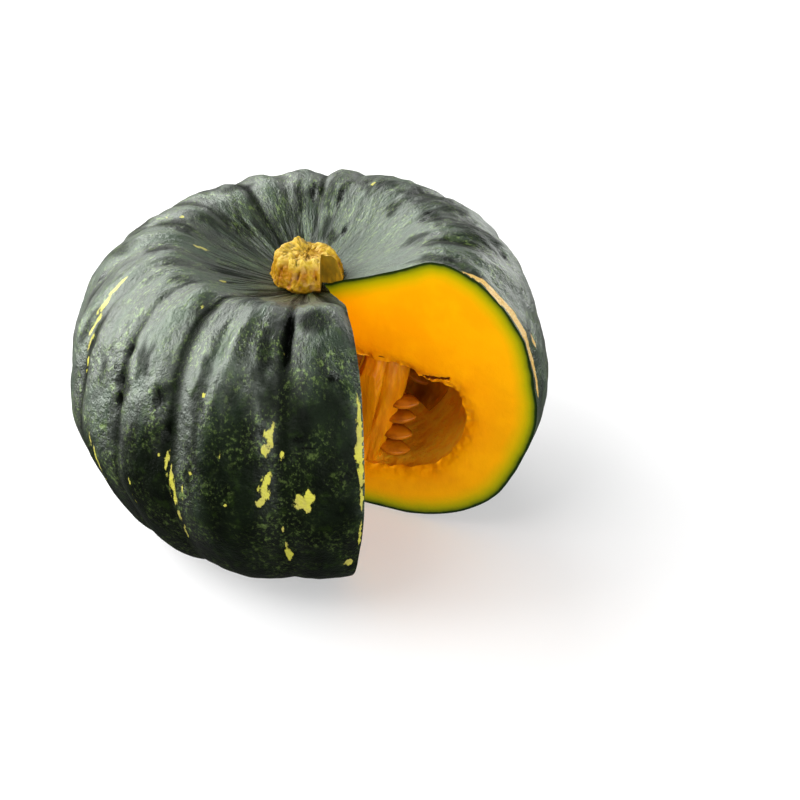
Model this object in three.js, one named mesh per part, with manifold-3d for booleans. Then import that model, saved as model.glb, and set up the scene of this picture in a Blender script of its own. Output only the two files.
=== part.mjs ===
// Kabocha squash with one wedge cut out of it: the squash itself (rind and flesh in one grown piece, with its seed hollow
// and the cut), the corky stem, a loose strand of pulp and the bands of pulp that line the hollow, with their seeds.
// Millimetres, +Z up. The squash's own axis is X = Y = 0 and it rests on Z = 0.

import * as THREE from "three";
import Module from "manifold-3d";

const wasm = await Module();
wasm.setup();

const radians = THREE.MathUtils.degToRad;
const mix = THREE.MathUtils.lerp;
const FULL_TURN = 2 * Math.PI;

// A seeded random number from 0 to 1, so that every build is the same.
function makeRandom(seed) {
  let state = seed;
  return () => {
    state = (state * 16807) % 2147483647;
    return state / 2147483647;
  };
}

function curveThrough(points) {
  return new THREE.SplineCurve(points.map(([x, y]) => new THREE.Vector2(x, y)));
}

// The value at "where" of a list of [place, value] steps, joined by smooth ramps.
function readSteps(steps, where) {
  for (let i = 1; i < steps.length; i += 1) {
    if (where <= steps[i][0]) {
      const part = THREE.MathUtils.smoothstep(where, steps[i - 1][0], steps[i][0]);
      return mix(steps[i - 1][1], steps[i][1], part);
    }
  }
  return steps[steps.length - 1][1];
}

// A closed solid from loops of points that follow one another, each loop anticlockwise as seen from the last one,
// with the two ends closed by fans to the points "start" and "end".
function solidFromLoops(loops, start, end) {
  const count = loops[0].length;
  const points = [start, ...loops.flat(), end];
  const last = points.length - 1;
  const triangles = [];
  for (let i = 0; i < count; i += 1) {
    const next = (i + 1) % count;
    triangles.push(0, 1 + next, 1 + i);
    for (let k = 0; k < loops.length - 1; k += 1) {
      const low = 1 + k * count;
      const high = low + count;
      triangles.push(low + i, low + next, high + next);
      triangles.push(low + i, high + next, high + i);
    }
    const rim = last - count;
    triangles.push(rim + i, rim + next, last);
  }
  const flat = points.flatMap((p) => [p.x, p.y, p.z]);
  return new wasm.Manifold(new wasm.Mesh({
    numProp: 3,
    vertProperties: new Float32Array(flat),
    triVerts: new Uint32Array(triangles),
  }));
}

function centreOf(loop) {
  const sum = new THREE.Vector3();
  loop.forEach((p) => sum.add(p));
  return sum.divideScalar(loop.length);
}

// An upright prism over a convex outline of [x, y] corners.
function prism(corners, zLow, zHigh) {
  const loops = [zLow, zHigh].map((z) => corners.map(([x, y]) => new THREE.Vector3(x, y, z)));
  return solidFromLoops(loops, centreOf(loops[0]), centreOf(loops[1]));
}

const object = new THREE.Group();

function addNode(name, solid, look) {
  const cut = solid.getMesh();
  const geometry = new THREE.BufferGeometry();
  geometry.setAttribute("position", new THREE.BufferAttribute(cut.vertProperties, 3));
  geometry.setIndex(new THREE.BufferAttribute(cut.triVerts, 1));
  geometry.computeVertexNormals();
  const mesh = new THREE.Mesh(geometry, new THREE.MeshStandardMaterial({ metalness: 0, ...look }));
  mesh.name = name;
  object.add(mesh);
}

// The cut: two knife strokes that meet beside the stem, and the wedge between them that was taken away. The right-hand
// stroke is upright. The left-hand one leans, so that it runs further left lower down.
const CUT_MEETS_X = 6.4;
const CUT_MEETS_Z = 96;
const CUT_RIGHT = -22.2;
const CUT_LEFT = -78.9;
const CUT_LEFT_LEAN = 0.038;
const KNIFE_LOW = -20;
const KNIFE_HIGH = 150;
const KNIFE_REACH = 160;

// The wedge between a leaning left-hand stroke and an upright right-hand one that meet at x, y at the dish's height.
function wedgeFrom(x, y, left, lean, right) {
  const leftAngle = radians(left);
  const rightAngle = radians(right);
  const loops = [KNIFE_LOW, KNIFE_HIGH].map((z) => {
    const shift = lean * (z - CUT_MEETS_Z);
    const back = shift / (Math.cos(rightAngle) - Math.sin(rightAngle) / Math.tan(leftAngle));
    const corner = new THREE.Vector3(x + back * Math.cos(rightAngle), y + back * Math.sin(rightAngle), z);
    const loop = [corner];
    for (const angle of [leftAngle, (leftAngle + rightAngle) / 2, rightAngle]) {
      const far = new THREE.Vector3(Math.cos(angle), Math.sin(angle), 0);
      loop.push(corner.clone().addScaledVector(far, KNIFE_REACH));
    }
    return loop;
  });
  return solidFromLoops(loops, centreOf(loops[0]), centreOf(loops[1]));
}

const wedge = wedgeFrom(CUT_MEETS_X, 0, CUT_LEFT, CUT_LEFT_LEAN, CUT_RIGHT);

// The squash: a squat round of [radius, height] steps, from the blossom end underneath to the dish round the stem.
const SKIN_OUTLINE = curveThrough([
  [0, 2.4], [22, -0.5], [41.7, -0.4], [61, 5], [78.3, 17.6], [88.6, 35.6], [94.8, 55.4],
  [93, 77.5], [84.7, 100], [70, 115.4], [52, 120.5], [34, 112], [17, 104.6], [0, 98.5],
]);

// The furrows between its lobes: angle in degrees, how strong the furrow is, and how far the lobe after it swells.
const FURROWS = [
  [0, 0.4, -0.3], [20, 0.3, 0.8], [42, 0.3, 1.4], [72, 0.4, 0.4], [85, 0.9, -1.2], [102, 0.5, -1.4],
  [119, 0.8, -2], [143, 0.9, -0.6], [163, 0.9, 0.4], [187, 0.8, 0.6], [204, 0.8, 0.4], [222, 1, 0.8],
  [239, 1, 1.8], [266.5, 1.1, 0.4], [289, 1.2, 0], [306, 0.7, 0], [322, 0.7, 0], [341, 0.3, 0],
];

// How deep a strong furrow is, in steps along the outline from 0 underneath to 1 at the stem.
const FURROW_DEPTH = [[0, 0], [0.08, 0.6], [0.16, 1], [0.25, 1.3], [0.46, 2], [0.6, 3.1], [0.74, 4.2],
  [0.86, 3.2], [0.93, 1.4], [0.96, 0.4], [1, 0]];
const FURROW_SHARPNESS = 0.62;
const LOBE_STEP_DEGREES = 3.7;
const SKIN_ROWS = 33;

// Where an angle falls: the furrows on each side of it and how far it lies between them, from 0 to 1.
function lobeAt(degrees) {
  const turn = THREE.MathUtils.euclideanModulo(degrees, 360);
  let i = FURROWS.length - 1;
  while (i > 0 && FURROWS[i][0] > turn) {
    i -= 1;
  }
  const right = FURROWS[i];
  const left = FURROWS[(i + 1) % FURROWS.length];
  const width = THREE.MathUtils.euclideanModulo(left[0] - right[0], 360);
  return { right, left, width, across: (turn - right[0]) / width };
}

function skinPoint(degrees, along) {
  const on = SKIN_OUTLINE.getPointAt(along);
  const slope = SKIN_OUTLINE.getTangentAt(along);
  const { right, left, across } = lobeAt(degrees);
  const arch = Math.max(0, Math.sin(Math.PI * across));
  const furrow = readSteps(FURROW_DEPTH, along) * mix(right[1], left[1], across);
  const swell = right[2] * arch * Math.sin(Math.PI * along) ** 2;
  const out = swell - furrow * (1 - arch ** FURROW_SHARPNESS);
  const angle = radians(degrees);
  const radius = on.x + out * slope.y;
  return new THREE.Vector3(radius * Math.cos(angle), radius * Math.sin(angle), on.y - out * slope.x);
}

// The angles of one loop of the skin, closer together towards each furrow.
const skinAngles = [];
for (const [start] of FURROWS) {
  const { width } = lobeAt(start);
  const steps = Math.max(4, Math.round(width / LOBE_STEP_DEGREES));
  for (let i = 0; i < steps; i += 1) {
    skinAngles.push(start + (width * (1 - Math.cos((Math.PI * i) / steps))) / 2);
  }
}

function skinSolid() {
  const loops = [];
  for (let row = 1; row < SKIN_ROWS; row += 1) {
    loops.push(skinAngles.map((degrees) => skinPoint(degrees, row / SKIN_ROWS)));
  }
  return solidFromLoops(loops, skinPoint(0, 0), skinPoint(0, 1));
}

// The seed hollow inside, in [radius, height] steps from its floor to its roof.
const HOLLOW_OUTLINE = curveThrough([
  [0, 18.5], [22, 19], [42, 22], [55, 30], [62.5, 42], [63.5, 54], [58, 63.5], [46, 67.5], [24, 70], [0, 72],
]);
const HOLLOW_ROWS = 16;
const HOLLOW_SIDES = 48;
const HOLLOW_RIPPLE = 0.8;
const HOLLOW_RIPPLES = 5;

// A point of the hollow's wall, moved inwards from it by "inset".
function hollowPoint(degrees, along, inset = 0) {
  const on = HOLLOW_OUTLINE.getPointAt(along);
  const slope = HOLLOW_OUTLINE.getTangentAt(along);
  const angle = radians(degrees);
  const ripple = HOLLOW_RIPPLE * Math.sin(HOLLOW_RIPPLES * angle) * Math.sin(Math.PI * along);
  const radius = Math.max(0, on.x - (inset + ripple) * slope.y);
  return new THREE.Vector3(radius * Math.cos(angle), radius * Math.sin(angle), on.y + (inset + ripple) * slope.x);
}

function hollowSolid(inset) {
  const loops = [];
  for (let row = 1; row < HOLLOW_ROWS; row += 1) {
    const loop = [];
    for (let i = 0; i < HOLLOW_SIDES; i += 1) {
      loop.push(hollowPoint((360 * i) / HOLLOW_SIDES, row / HOLLOW_ROWS, inset));
    }
    loops.push(loop);
  }
  return solidFromLoops(loops, hollowPoint(0, 0, inset), hollowPoint(0, 1, inset));
}

// The stem: corky, ribbed, spread at its foot and broken off rough on top, where it leans down to the right and back.
const STEM_X = -0.1;
const STEM_Y = 2;
const STEM_OUTLINE = curveThrough([
  [0, 96.5], [8, 98], [12, 100.5], [14.4, 103], [14, 105.5], [13.2, 108.5], [12.6, 110.5], [11.8, 112.2],
  [9.8, 113.7], [5, 113.5], [0, 113],
]);
const STEM_ROWS = 16;
const STEM_SIDES = 40;
const STEM_RIBS = 9;
const STEM_RIB_DEPTH = 1.1;
const STEM_TOP_SLOPE_X = -0.12;
const STEM_TOP_SLOPE_Y = -0.12;

// The splinters on top: x, y and how high each stands. They, the slope of the top and the roughness of the cork each
// begin at a height and are at their full size at another.
const STEM_PEAKS = [[-3.5, 9, 3.1], [7.5, 7, 2.2], [11, -1, 0.6], [-9, 2, 0.4]];
const STEM_PEAK_WIDTH = 3.2;
const STEM_PEAKS_FROM = 108.5;
const STEM_PEAKS_TO = 113;
const STEM_SLOPE_FROM = 104;
const STEM_SLOPE_TO = 113.5;
const STEM_ROUGHNESS = 0.45;
const STEM_ROUGH_FROM = 103;
const STEM_ROUGH_TO = 106;
const STEM_RIB_WANDER = 0.5;
const STEM_LEAST_RADIUS = 0.5;
const STEM_SEED = 5;
const STEM_CUT_X = 5.3;
const STEM_CUT_Y = 0.6;
const STEM_CUT_LEFT = -90;

function stemSolid(grow) {
  const random = makeRandom(STEM_SEED);
  const loops = [];
  for (let row = 1; row < STEM_ROWS; row += 1) {
    const along = row / STEM_ROWS;
    const on = STEM_OUTLINE.getPointAt(along);
    const slope = STEM_OUTLINE.getTangentAt(along);
    const ribs = STEM_RIB_DEPTH * Math.sin(Math.PI * along);
    const roughness = STEM_ROUGHNESS * THREE.MathUtils.smoothstep(on.y, STEM_ROUGH_FROM, STEM_ROUGH_TO);
    const sloped = THREE.MathUtils.smoothstep(on.y, STEM_SLOPE_FROM, STEM_SLOPE_TO);
    const peaked = THREE.MathUtils.smoothstep(on.y, STEM_PEAKS_FROM, STEM_PEAKS_TO);
    const loop = [];
    for (let i = 0; i < STEM_SIDES; i += 1) {
      const angle = (FULL_TURN * i) / STEM_SIDES;
      const ridge = Math.abs(Math.sin((STEM_RIBS * angle) / 2 + STEM_RIB_WANDER * Math.sin(2 * angle)));
      const out = roughness * (2 * random() - 1) - ribs * (1 - ridge) + grow;
      const radius = Math.max(STEM_LEAST_RADIUS, on.x + out * slope.y);
      const x = STEM_X + radius * Math.cos(angle);
      const y = STEM_Y + radius * Math.sin(angle);
      let z = on.y - out * slope.x + (STEM_TOP_SLOPE_X * x + STEM_TOP_SLOPE_Y * y) * sloped;
      for (const [peakX, peakY, height] of STEM_PEAKS) {
        const away = Math.hypot(x - peakX, y - peakY) / STEM_PEAK_WIDTH;
        z += height * Math.exp(-away * away) * peaked;
      }
      loop.push(new THREE.Vector3(x, y, z));
    }
    loops.push(loop);
  }
  const foot = new THREE.Vector3(STEM_X, STEM_Y, STEM_OUTLINE.points[0].y - grow);
  const top = new THREE.Vector3(STEM_X, STEM_Y, STEM_OUTLINE.points.at(-1).y + grow);
  return solidFromLoops(loops, foot, top);
}

// The notch that the same knife left in the stem, a little wider than the cut in the squash.
function stemNotch(back) {
  return wedgeFrom(STEM_CUT_X + back, STEM_CUT_Y - back, STEM_CUT_LEFT, 0, CUT_RIGHT);
}

const NODE_GAP = 0.6;
const stem = stemSolid(0).subtract(stemNotch(0));
const stemSocket = stemSolid(NODE_GAP).subtract(stemNotch(NODE_GAP));

const GROUND_HALF = 150;
const GROUND_DEPTH = 30;
const groundCorners = [[-1, -1], [1, -1], [1, 1], [-1, 1]].map(([x, y]) => [x * GROUND_HALF, y * GROUND_HALF]);
const groundSlab = prism(groundCorners, -GROUND_DEPTH, 0);
const squash = skinSolid()
  .subtract(hollowSolid(0))
  .subtract(wedge)
  .subtract(stemSocket)
  .subtract(groundSlab);

// The seeds: flat, pointed at the root, sunk well into the pulp they grow from.
const SEED_LENGTH = 15;
const SEED_WIDTH = 8.5;
const SEED_THICKNESS = 3.4;
const SEED_SIDES = 8;
const SEED_OUTLINE = [[0.2, 0.55], [0.55, 1], [0.85, 0.72]];

// A seed with its root at "root", lying along "along" with its flat side facing "up".
function seedSolid(root, along, up) {
  const side = new THREE.Vector3().crossVectors(up, along).normalize();
  const flat = new THREE.Vector3().crossVectors(along, side).normalize();
  const loops = SEED_OUTLINE.map(([part, size]) => {
    const loop = [];
    for (let i = 0; i < SEED_SIDES; i += 1) {
      const turn = (FULL_TURN * i) / SEED_SIDES;
      loop.push(root.clone()
        .addScaledVector(along, part * SEED_LENGTH)
        .addScaledVector(side, (Math.cos(turn) * size * SEED_WIDTH) / 2)
        .addScaledVector(flat, (Math.sin(turn) * size * SEED_THICKNESS) / 2));
    }
    return loop;
  });
  return solidFromLoops(loops, root, root.clone().addScaledVector(along, SEED_LENGTH));
}

// A strand: a tube along a smooth line of points, with a thickness that wanders between two shares of its own.
const STRAND_STEPS_PER_POINT = 2;
const STRAND_THINNEST = 0.8;
const STRAND_THICKEST = 1.2;

function strandSolid(points, thickness, sides, random) {
  const line = new THREE.CatmullRomCurve3(points);
  const steps = points.length * STRAND_STEPS_PER_POINT;
  const frames = line.computeFrenetFrames(steps, false);
  const loops = [];
  for (let k = 0; k <= steps; k += 1) {
    const centre = line.getPointAt(k / steps);
    const loop = [];
    for (let i = 0; i < sides; i += 1) {
      const turn = (FULL_TURN * i) / sides;
      const radius = (thickness * mix(STRAND_THINNEST, STRAND_THICKEST, random())) / 2;
      loop.push(centre.clone()
        .addScaledVector(frames.normals[k], radius * Math.cos(turn))
        .addScaledVector(frames.binormals[k], radius * Math.sin(turn)));
    }
    loops.push(loop);
  }
  return solidFromLoops(loops, centreOf(loops[0]), centreOf(loops[steps]));
}

// The bands of pulp that line the hollow from floor to roof: middle angle, half width and thickness at the middle. Each
// is thinner and narrower at its ends, and its crown wanders between two shares of its thickness.
const BANDS = [
  [42, 22, 9], [93, 24, 10], [146, 24, 9], [200, 24, 10], [252, 23, 8],
];
const BAND_FROM = 0.35;
const BAND_TO = 0.65;
const BAND_ROWS = 9;
const BAND_COLUMNS = 9;
const BAND_EDGE = 1.6;
const BAND_ENDS = 0.12;
const BAND_END_WIDTH = 0.82;
const BAND_CROWN_LOW = 0.75;
const BAND_CROWN_HIGH = 1.25;
const WALL_GAP = 0.4;
const roomForPulp = hollowSolid(WALL_GAP);

// The seeds of a band stand in columns, from one share of its height to another, turned and tilted a little at random.
const SEEDS_PER_BAND = 8;
const SEED_COLUMNS = 3;
const SEED_COLUMN_APART = 0.5;
const SEEDS_FROM = 0.22;
const SEEDS_TO = 0.8;
const SEED_ROOT_INSET = WALL_GAP + 1.2;
const SEED_AIM_INSET = WALL_GAP + 12;
const SEED_SHIFT_DEGREES = 4;
const SEED_TURN_DEGREES = 30;
const SEED_TILT = 0.5;

function bandSolid([middle, half, thickness], seed) {
  const random = makeRandom(seed);
  const loops = [];
  for (let row = 0; row <= BAND_ROWS; row += 1) {
    const along = mix(BAND_FROM, BAND_TO, row / BAND_ROWS);
    const tall = Math.sin(Math.PI * mix(BAND_ENDS, 1 - BAND_ENDS, row / BAND_ROWS));
    const narrow = mix(BAND_END_WIDTH, 1, tall);
    const loop = [];
    for (let i = 0; i <= BAND_COLUMNS; i += 1) {
      const degrees = middle + half * narrow * ((2 * i) / BAND_COLUMNS - 1);
      loop.push(hollowPoint(degrees, along, 0));
    }
    for (let i = BAND_COLUMNS; i >= 0; i -= 1) {
      const across = (2 * i) / BAND_COLUMNS - 1;
      const crown = (1 - across * across) * tall * mix(BAND_CROWN_LOW, BAND_CROWN_HIGH, random());
      const inset = WALL_GAP + BAND_EDGE + (thickness - BAND_EDGE) * crown;
      loop.push(hollowPoint(middle + half * narrow * across, along, inset));
    }
    loops.push(loop);
  }
  let band = solidFromLoops(loops, centreOf(loops[0]), centreOf(loops[BAND_ROWS]));
  for (let k = 0; k < SEEDS_PER_BAND; k += 1) {
    const column = (k % SEED_COLUMNS) - 1;
    const degrees = middle + half * SEED_COLUMN_APART * column + SEED_SHIFT_DEGREES * (random() - 0.5);
    const along = mix(BAND_FROM, BAND_TO, mix(SEEDS_FROM, SEEDS_TO, (k + random()) / SEEDS_PER_BAND));
    const root = hollowPoint(degrees, along, SEED_ROOT_INSET);
    const aimDegrees = degrees + SEED_TURN_DEGREES * (random() - 0.5);
    const aim = hollowPoint(aimDegrees, along, SEED_AIM_INSET).sub(root).normalize();
    const up = new THREE.Vector3(SEED_TILT * (random() - 0.5), SEED_TILT * (random() - 0.5), 1).normalize();
    band = band.add(seedSolid(root, aim, up));
  }
  return band.intersect(roomForPulp).subtract(wedge);
}

// The loose strand: pulp pulled away from the wall just behind the right-hand cut, two cords of it grown together,
// with seeds stacked up its outer side.
const STRAND_LINES = [
  [[23, 2, 19.5], [25, 1, 30], [28, 0, 42], [31, 0, 54], [33, 2, 63], [34, 4, 68]],
  [[17.5, -1, 19.5], [18.5, -3, 31], [20.5, -4, 43], [23, -3, 55], [26.5, 0, 63], [28, 2, 69]],
];
const STRAND_THICKNESS = [13, 11];
const STRAND_SIDES = 10;

// Its seeds: their heights, where the lowest of them is rooted and how far each next one moves over per mm of height.
const STRAND_SEED_HEIGHTS = [26, 33, 40, 47];
const STRAND_SEED_X = 25.2;
const STRAND_SEED_LEAN = 0.2;
const STRAND_SEED_TURN = 0.3;

function looseStrandSolid() {
  const random = makeRandom(23);
  const cords = STRAND_LINES.map((line, i) => {
    const points = line.map(([x, y, z]) => new THREE.Vector3(x, y, z));
    return strandSolid(points, STRAND_THICKNESS[i], STRAND_SIDES, random);
  });
  let strand = cords[0].add(cords[1]);
  for (const height of STRAND_SEED_HEIGHTS) {
    const rootX = STRAND_SEED_X + STRAND_SEED_LEAN * (height - STRAND_SEED_HEIGHTS[0]);
    const root = new THREE.Vector3(rootX, 0, height);
    const turn = -0.1 - STRAND_SEED_TURN * random();
    const aim = new THREE.Vector3(1, turn, STRAND_SEED_TURN * (random() - 0.5)).normalize();
    const up = new THREE.Vector3(STRAND_SEED_TURN * (random() - 0.5), -0.2, 1).normalize();
    strand = strand.add(seedSolid(root, aim, up));
  }
  return strand.intersect(roomForPulp).subtract(wedge);
}

addNode("squash", squash, { color: 0x2c3a2a, roughness: 0.5 });
addNode("stem", stem, { color: 0xd8b456, roughness: 0.85 });
addNode("pulp_strand", looseStrandSolid(), { color: 0xd9820f, roughness: 0.6 });
BANDS.forEach((band, i) => {
  addNode(`pulp_band_${i + 1}`, bandSolid(band, 41 + i), { color: 0xe08e1a, roughness: 0.6 });
});

export default object;
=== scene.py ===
import math

import bmesh
import bpy
import numpy as np
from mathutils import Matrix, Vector, noise


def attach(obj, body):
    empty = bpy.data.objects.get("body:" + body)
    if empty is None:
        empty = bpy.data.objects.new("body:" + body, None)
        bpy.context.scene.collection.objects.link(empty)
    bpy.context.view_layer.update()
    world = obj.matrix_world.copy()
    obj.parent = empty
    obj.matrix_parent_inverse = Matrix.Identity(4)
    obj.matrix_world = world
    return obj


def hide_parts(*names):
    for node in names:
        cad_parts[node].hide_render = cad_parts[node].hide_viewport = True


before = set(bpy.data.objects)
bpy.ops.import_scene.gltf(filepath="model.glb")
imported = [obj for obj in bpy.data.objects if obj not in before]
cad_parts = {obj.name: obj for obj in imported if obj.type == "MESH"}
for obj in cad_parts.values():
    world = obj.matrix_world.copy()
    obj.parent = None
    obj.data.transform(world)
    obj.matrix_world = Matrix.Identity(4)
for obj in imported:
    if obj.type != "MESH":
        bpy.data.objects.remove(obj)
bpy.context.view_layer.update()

# ==================================================================================================
# The squash: rind and flesh grown in one piece, squat, furrowed from the blossom end to the stem, with a
# waxy dark green skin over yellow-orange flesh. A knife took one wedge out of it, so that its flesh and its
# seed hollow show.
# ==================================================================================================

# Sizes in mm, and angles in degrees. Outlines are [radius, height] steps from the foot to the top.
SKIN_OUTLINE = [
    [0, 2.4], [22, -0.5], [41.7, -0.4], [61, 5], [78.3, 17.6], [88.6, 35.6], [94.8, 55.4],
    [93, 77.5], [84.7, 100], [70, 115.4], [52, 120.5], [34, 112], [17, 104.6], [0, 98.5],
]

# The furrows: angle, how deep against the others, and how far the lobe after it swells out.
FURROWS = [
    [0, 0.4, -0.3], [20, 0.3, 0.8], [42, 0.3, 1.4], [72, 0.4, 0.4], [85, 0.9, -1.2], [102, 0.5, -1.4],
    [119, 0.8, -2], [143, 0.9, -0.6], [163, 0.9, 0.4], [187, 0.8, 0.6], [204, 0.8, 0.4], [222, 1, 0.8],
    [239, 1, 1.8], [266.5, 1.1, 0.4], [289, 1.2, 0], [306, 0.7, 0], [322, 0.7, 0], [341, 0.3, 0],
]

# How deep the furrows are and how round their bottoms, as [share of the outline, value] steps.
FURROW_DEPTH = [
    [0, 0], [0.08, 0.6], [0.16, 1], [0.25, 1.3], [0.46, 2], [0.6, 3.1], [0.74, 4.2], [0.86, 3.2],
    [0.93, 1.4], [0.96, 0.4], [1, 0],
]
FURROW_ROUNDING = [[0, 0.06], [0.4, 0.06], [0.6, 0.02], [0.78, 0.008], [0.9, 0.03], [1, 0.03]]
FURROW_SHARPNESS = 0.62
HOLLOW_OUTLINE = [
    [0, 18.5], [22, 19], [42, 22], [55, 30], [62.5, 42], [63.5, 54], [58, 63.5], [46, 67.5], [24, 70],
    [0, 72],
]
HOLLOW_RIPPLES = 5
HOLLOW_RIPPLE = 0.8
HOLLOW_INSET = 0.3

# The knife's two strokes: where they meet, which way each goes, and how much the left-hand one leans.
CUT_MEETS_X = 6.4
CUT_MEETS_Z = 96
CUT_RIGHT = -22.2
CUT_LEFT = -78.9
CUT_LEFT_LEAN = 0.038

# Where the strokes meet at the foot and the top of each outline: angle and distance from the axis.
SKIN_FOOT_CORNER = [32.0, 2.98]
SKIN_TOP_CORNER = [0.0, 6.5]
HOLLOW_FOOT_CORNER = [22.2, 3.455]
HOLLOW_TOP_CORNER = [4.3, 5.43]

# The fine surface: rows along the outline, columns round the axis and steps across the cut flesh. Rows and
# columns are closer together where the skin carries the finest marks: [share or angle, how close] steps.
SKIN_ROWS = 184
SKIN_COLUMNS = 412
HOLLOW_COLUMNS = 44
FLESH_STEPS = 30
WHOLE_FOOT_ROWS = 3
WHOLE_TOP_ROWS = 4
ROW_CLOSENESS = [[0, 0.5], [0.3, 0.8], [0.4, 1.3], [0.86, 1.3], [0.95, 0.9], [1, 0.9]]
COLUMN_CLOSENESS = [[-21, 1], [50, 0.9], [85, 0.6], [175, 0.6], [200, 1.35], [286, 1.35]]
OUTLINE_SAMPLES = 4001
SPREAD_SAMPLES = 2001

# Halfway up its outline the skin lies this far inside the solid part's, so that its lumps stay within that.
SKIN_INSET = 0.78

# The scene is in metres. Points closer than the join distance become one, and edges that fold by more than
# the sharp angle stay sharp.
MILLIMETRE = 0.001
JOIN_DISTANCE = 2e-6
SHARP_ANGLE = 42

# Noise and the skin's map are laid out on upright drums of these radii. The map is in units of 100 mm.
GIRTH_RADIUS = 90
HOLLOW_GIRTH_RADIUS = 60.0
MAP_UNIT = 100

# Parts of the skin between foot and top, as [share of the outline, how much] steps.
ABOVE_FOOT = [[0.1, 0], [0.3, 1]]
CREASED_PART = [[0.05, 0], [0.3, 1]]
HIGH_SHOULDER = [[0.55, 0], [0.74, 1]]
CREST = [[0.58, 0], [0.7, 1], [0.8, 1], [0.9, 0]]
DISH = [[0.76, 0], [0.86, 1], [0.93, 1], [0.98, 0]]
DISH_SIDE = [[0.8, 0], [0.88, 1]]

# How those parts differ round the axis, as [angle, value] steps: how strong pleats and furrows are, how far
# the crest rises and the furrows lean, and how strong the painted shade is that darkens and dulls streaks on
# the dish's side that faces away from the light.
PLEATS = [[0, 0.2], [60, 0.2], [95, 1], [240, 1], [290, 0.4], [360, 0.2]]
DISH_FURROWS = [
    [0, 0.3], [75, 0.3], [100, 0.8], [200, 0.85], [215, 0.5], [232, 0.6], [250, 0.9], [300, 0.6],
    [360, 0.3],
]
SHOULDER_FURROWS = [
    [0, 1], [120, 1], [150, 0.6], [200, 0.55], [216, 0.4], [226, 0.5], [240, 0.75], [255, 0.85],
    [266, 0.65], [285, 1], [360, 1],
]
CREST_RISE = [
    [0, 0.8], [60, 0.7], [75, 0.9], [90, 0.3], [110, 0.1], [125, 0.3], [140, -0.7], [160, -0.9],
    [180, -0.2], [195, 0], [345, 0], [360, 0.8],
]
FURROW_LEAN = [[0, 0], [185, 0], [204, 2], [222, 3.2], [239, 2.2], [262, 0], [360, 0]]
DISH_PAINTED_SHADE = [[0, 0.1], [70, 0.15], [95, 0.9], [150, 0.7], [200, 1], [330, 1], [345, 0.1], [360, 0.1]]

# Noises of different seeds are cut this far apart from one endless noise.
NOISE_APART = 37.7

# Layers of noise: height, width of the lumps, how they are squeezed upwards (below 1 draws them out), seed.
LUMPS = [[1.1, 13, 0.55, 1], [0.6, 6.5, 0.75, 2]]
WRINKLES = [[-0.4, 8, 1, 3], [-0.22, 4.5, 1, 8]]
RIDGES = [[0.75, 12, 0.22, 4]]
PLEAT_FOLDS = [[0.6, 15, 0.14, 5]]
FRAYED_EDGES = [[0.45, 2.2, 0.6, 9]]
WORN_EDGES = [[0.6, 7, 0.6, 11], [0.5, 3, 0.7, 12]]
HOLLOW_TEARS = [[0.9, 7, 0.4, 6], [0.5, 2.6, 0.7, 7]]
LIP_TEARS = [[0.6, 5, 1, 15], [0.5, 2, 1, 16]]

# How strong lumps and ridges are up the outline, and how much weaker in the dish.
LUMPS_UP = [[0.42, 0.4], [0.64, 1.1]]
RIDGES_UP = [[0.42, 0.4], [0.64, 1.0]]
DISH_SMOOTHNESS = 0.75

# Where the hollow has been torn open at the cuts, its edge rolls inwards into a lip.
LIP_DEPTH = 2.6
LIP_WIDTH = 7.0
LIP_ENDS = 0.08

# A torn flap that hangs from the hollow's roof by the right-hand cut: angle, share of the outline, how far
# each way it reaches in degrees and in shares, and how far it hangs.
FLAP = [338, 0.672, 12, 0.035, 3.2]

# Cracks in the right-hand cut face: from and to, each as distance from where the strokes meet and height,
# then half width and depth.
CRACKS = [
    [[40.0, 66.2], [46.0, 67.2], 1.2, 2.6], [[45.5, 67.2], [51.5, 68.7], 0.8, 1.6],
    [[18.6, 71.9], [20.6, 72.0], 0.5, 0.5], [[22.4, 72.3], [24.4, 72.2], 0.6, 0.6],
]
CRACK_EDGE = [-0.3, 0.6]

# Every mark on the skin is given by its angle, share of the outline, half width and half length. Scars and
# dents also have a depth, which is below 0 for a swelling.
SCARS = [
    [266.8, 0.762, 1.4, 15.0, 2.2], [266.8, 0.742, 2.0, 12.0, 1.0], [266.9, 0.708, 1.3, 7.0, 1.0],
    [279.2, 0.675, 1.7, 2.0, 1.1], [183.7, 0.674, 2.0, 2.4, 0.7], [220.2, 0.652, 1.2, 3.4, 1.2],
    [220.4, 0.606, 2.0, 3.8, 1.8], [221.6, 0.578, 1.7, 3.4, 1.8], [218.6, 0.622, 1.6, 1.2, 0.6],
    [234.9, 0.610, 1.4, 3.6, 1.5], [237.8, 0.568, 1.9, 3.8, 1.7], [270.5, 0.590, 2.6, 1.1, 0.5],
    [272.0, 0.580, 2.0, 0.7, 0.3], [261.3, 0.600, 0.8, 2.6, 0.6], [246.3, 0.816, 2.2, 1.2, 0.7],
    [88.8, 0.816, 1.4, 4.5, 1.5], [73.9, 0.826, 1.3, 4.2, 1.2], [62.4, 0.880, 1.0, 4.0, 1.2],
    [20.9, 0.806, 1.2, 2.4, 0.9], [24.0, 0.792, 0.8, 2.8, 0.7], [5.2, 0.800, 1.0, 2.0, 0.8],
    [3.9, 0.690, 1.3, 3.0, 0.8], [15.1, 0.694, 1.0, 2.0, 0.7], [355.7, 0.643, 1.0, 2.4, 0.7],
    [353.0, 0.629, 0.9, 1.8, 0.6], [38.0, 0.700, 1.1, 2.6, 0.8], [118.0, 0.640, 1.2, 3.4, 1.1],
    [143.5, 0.560, 1.3, 3.8, 1.2], [96.0, 0.470, 1.1, 2.2, 0.8], [163.0, 0.730, 1.0, 4.2, 1.2],
]
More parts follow.
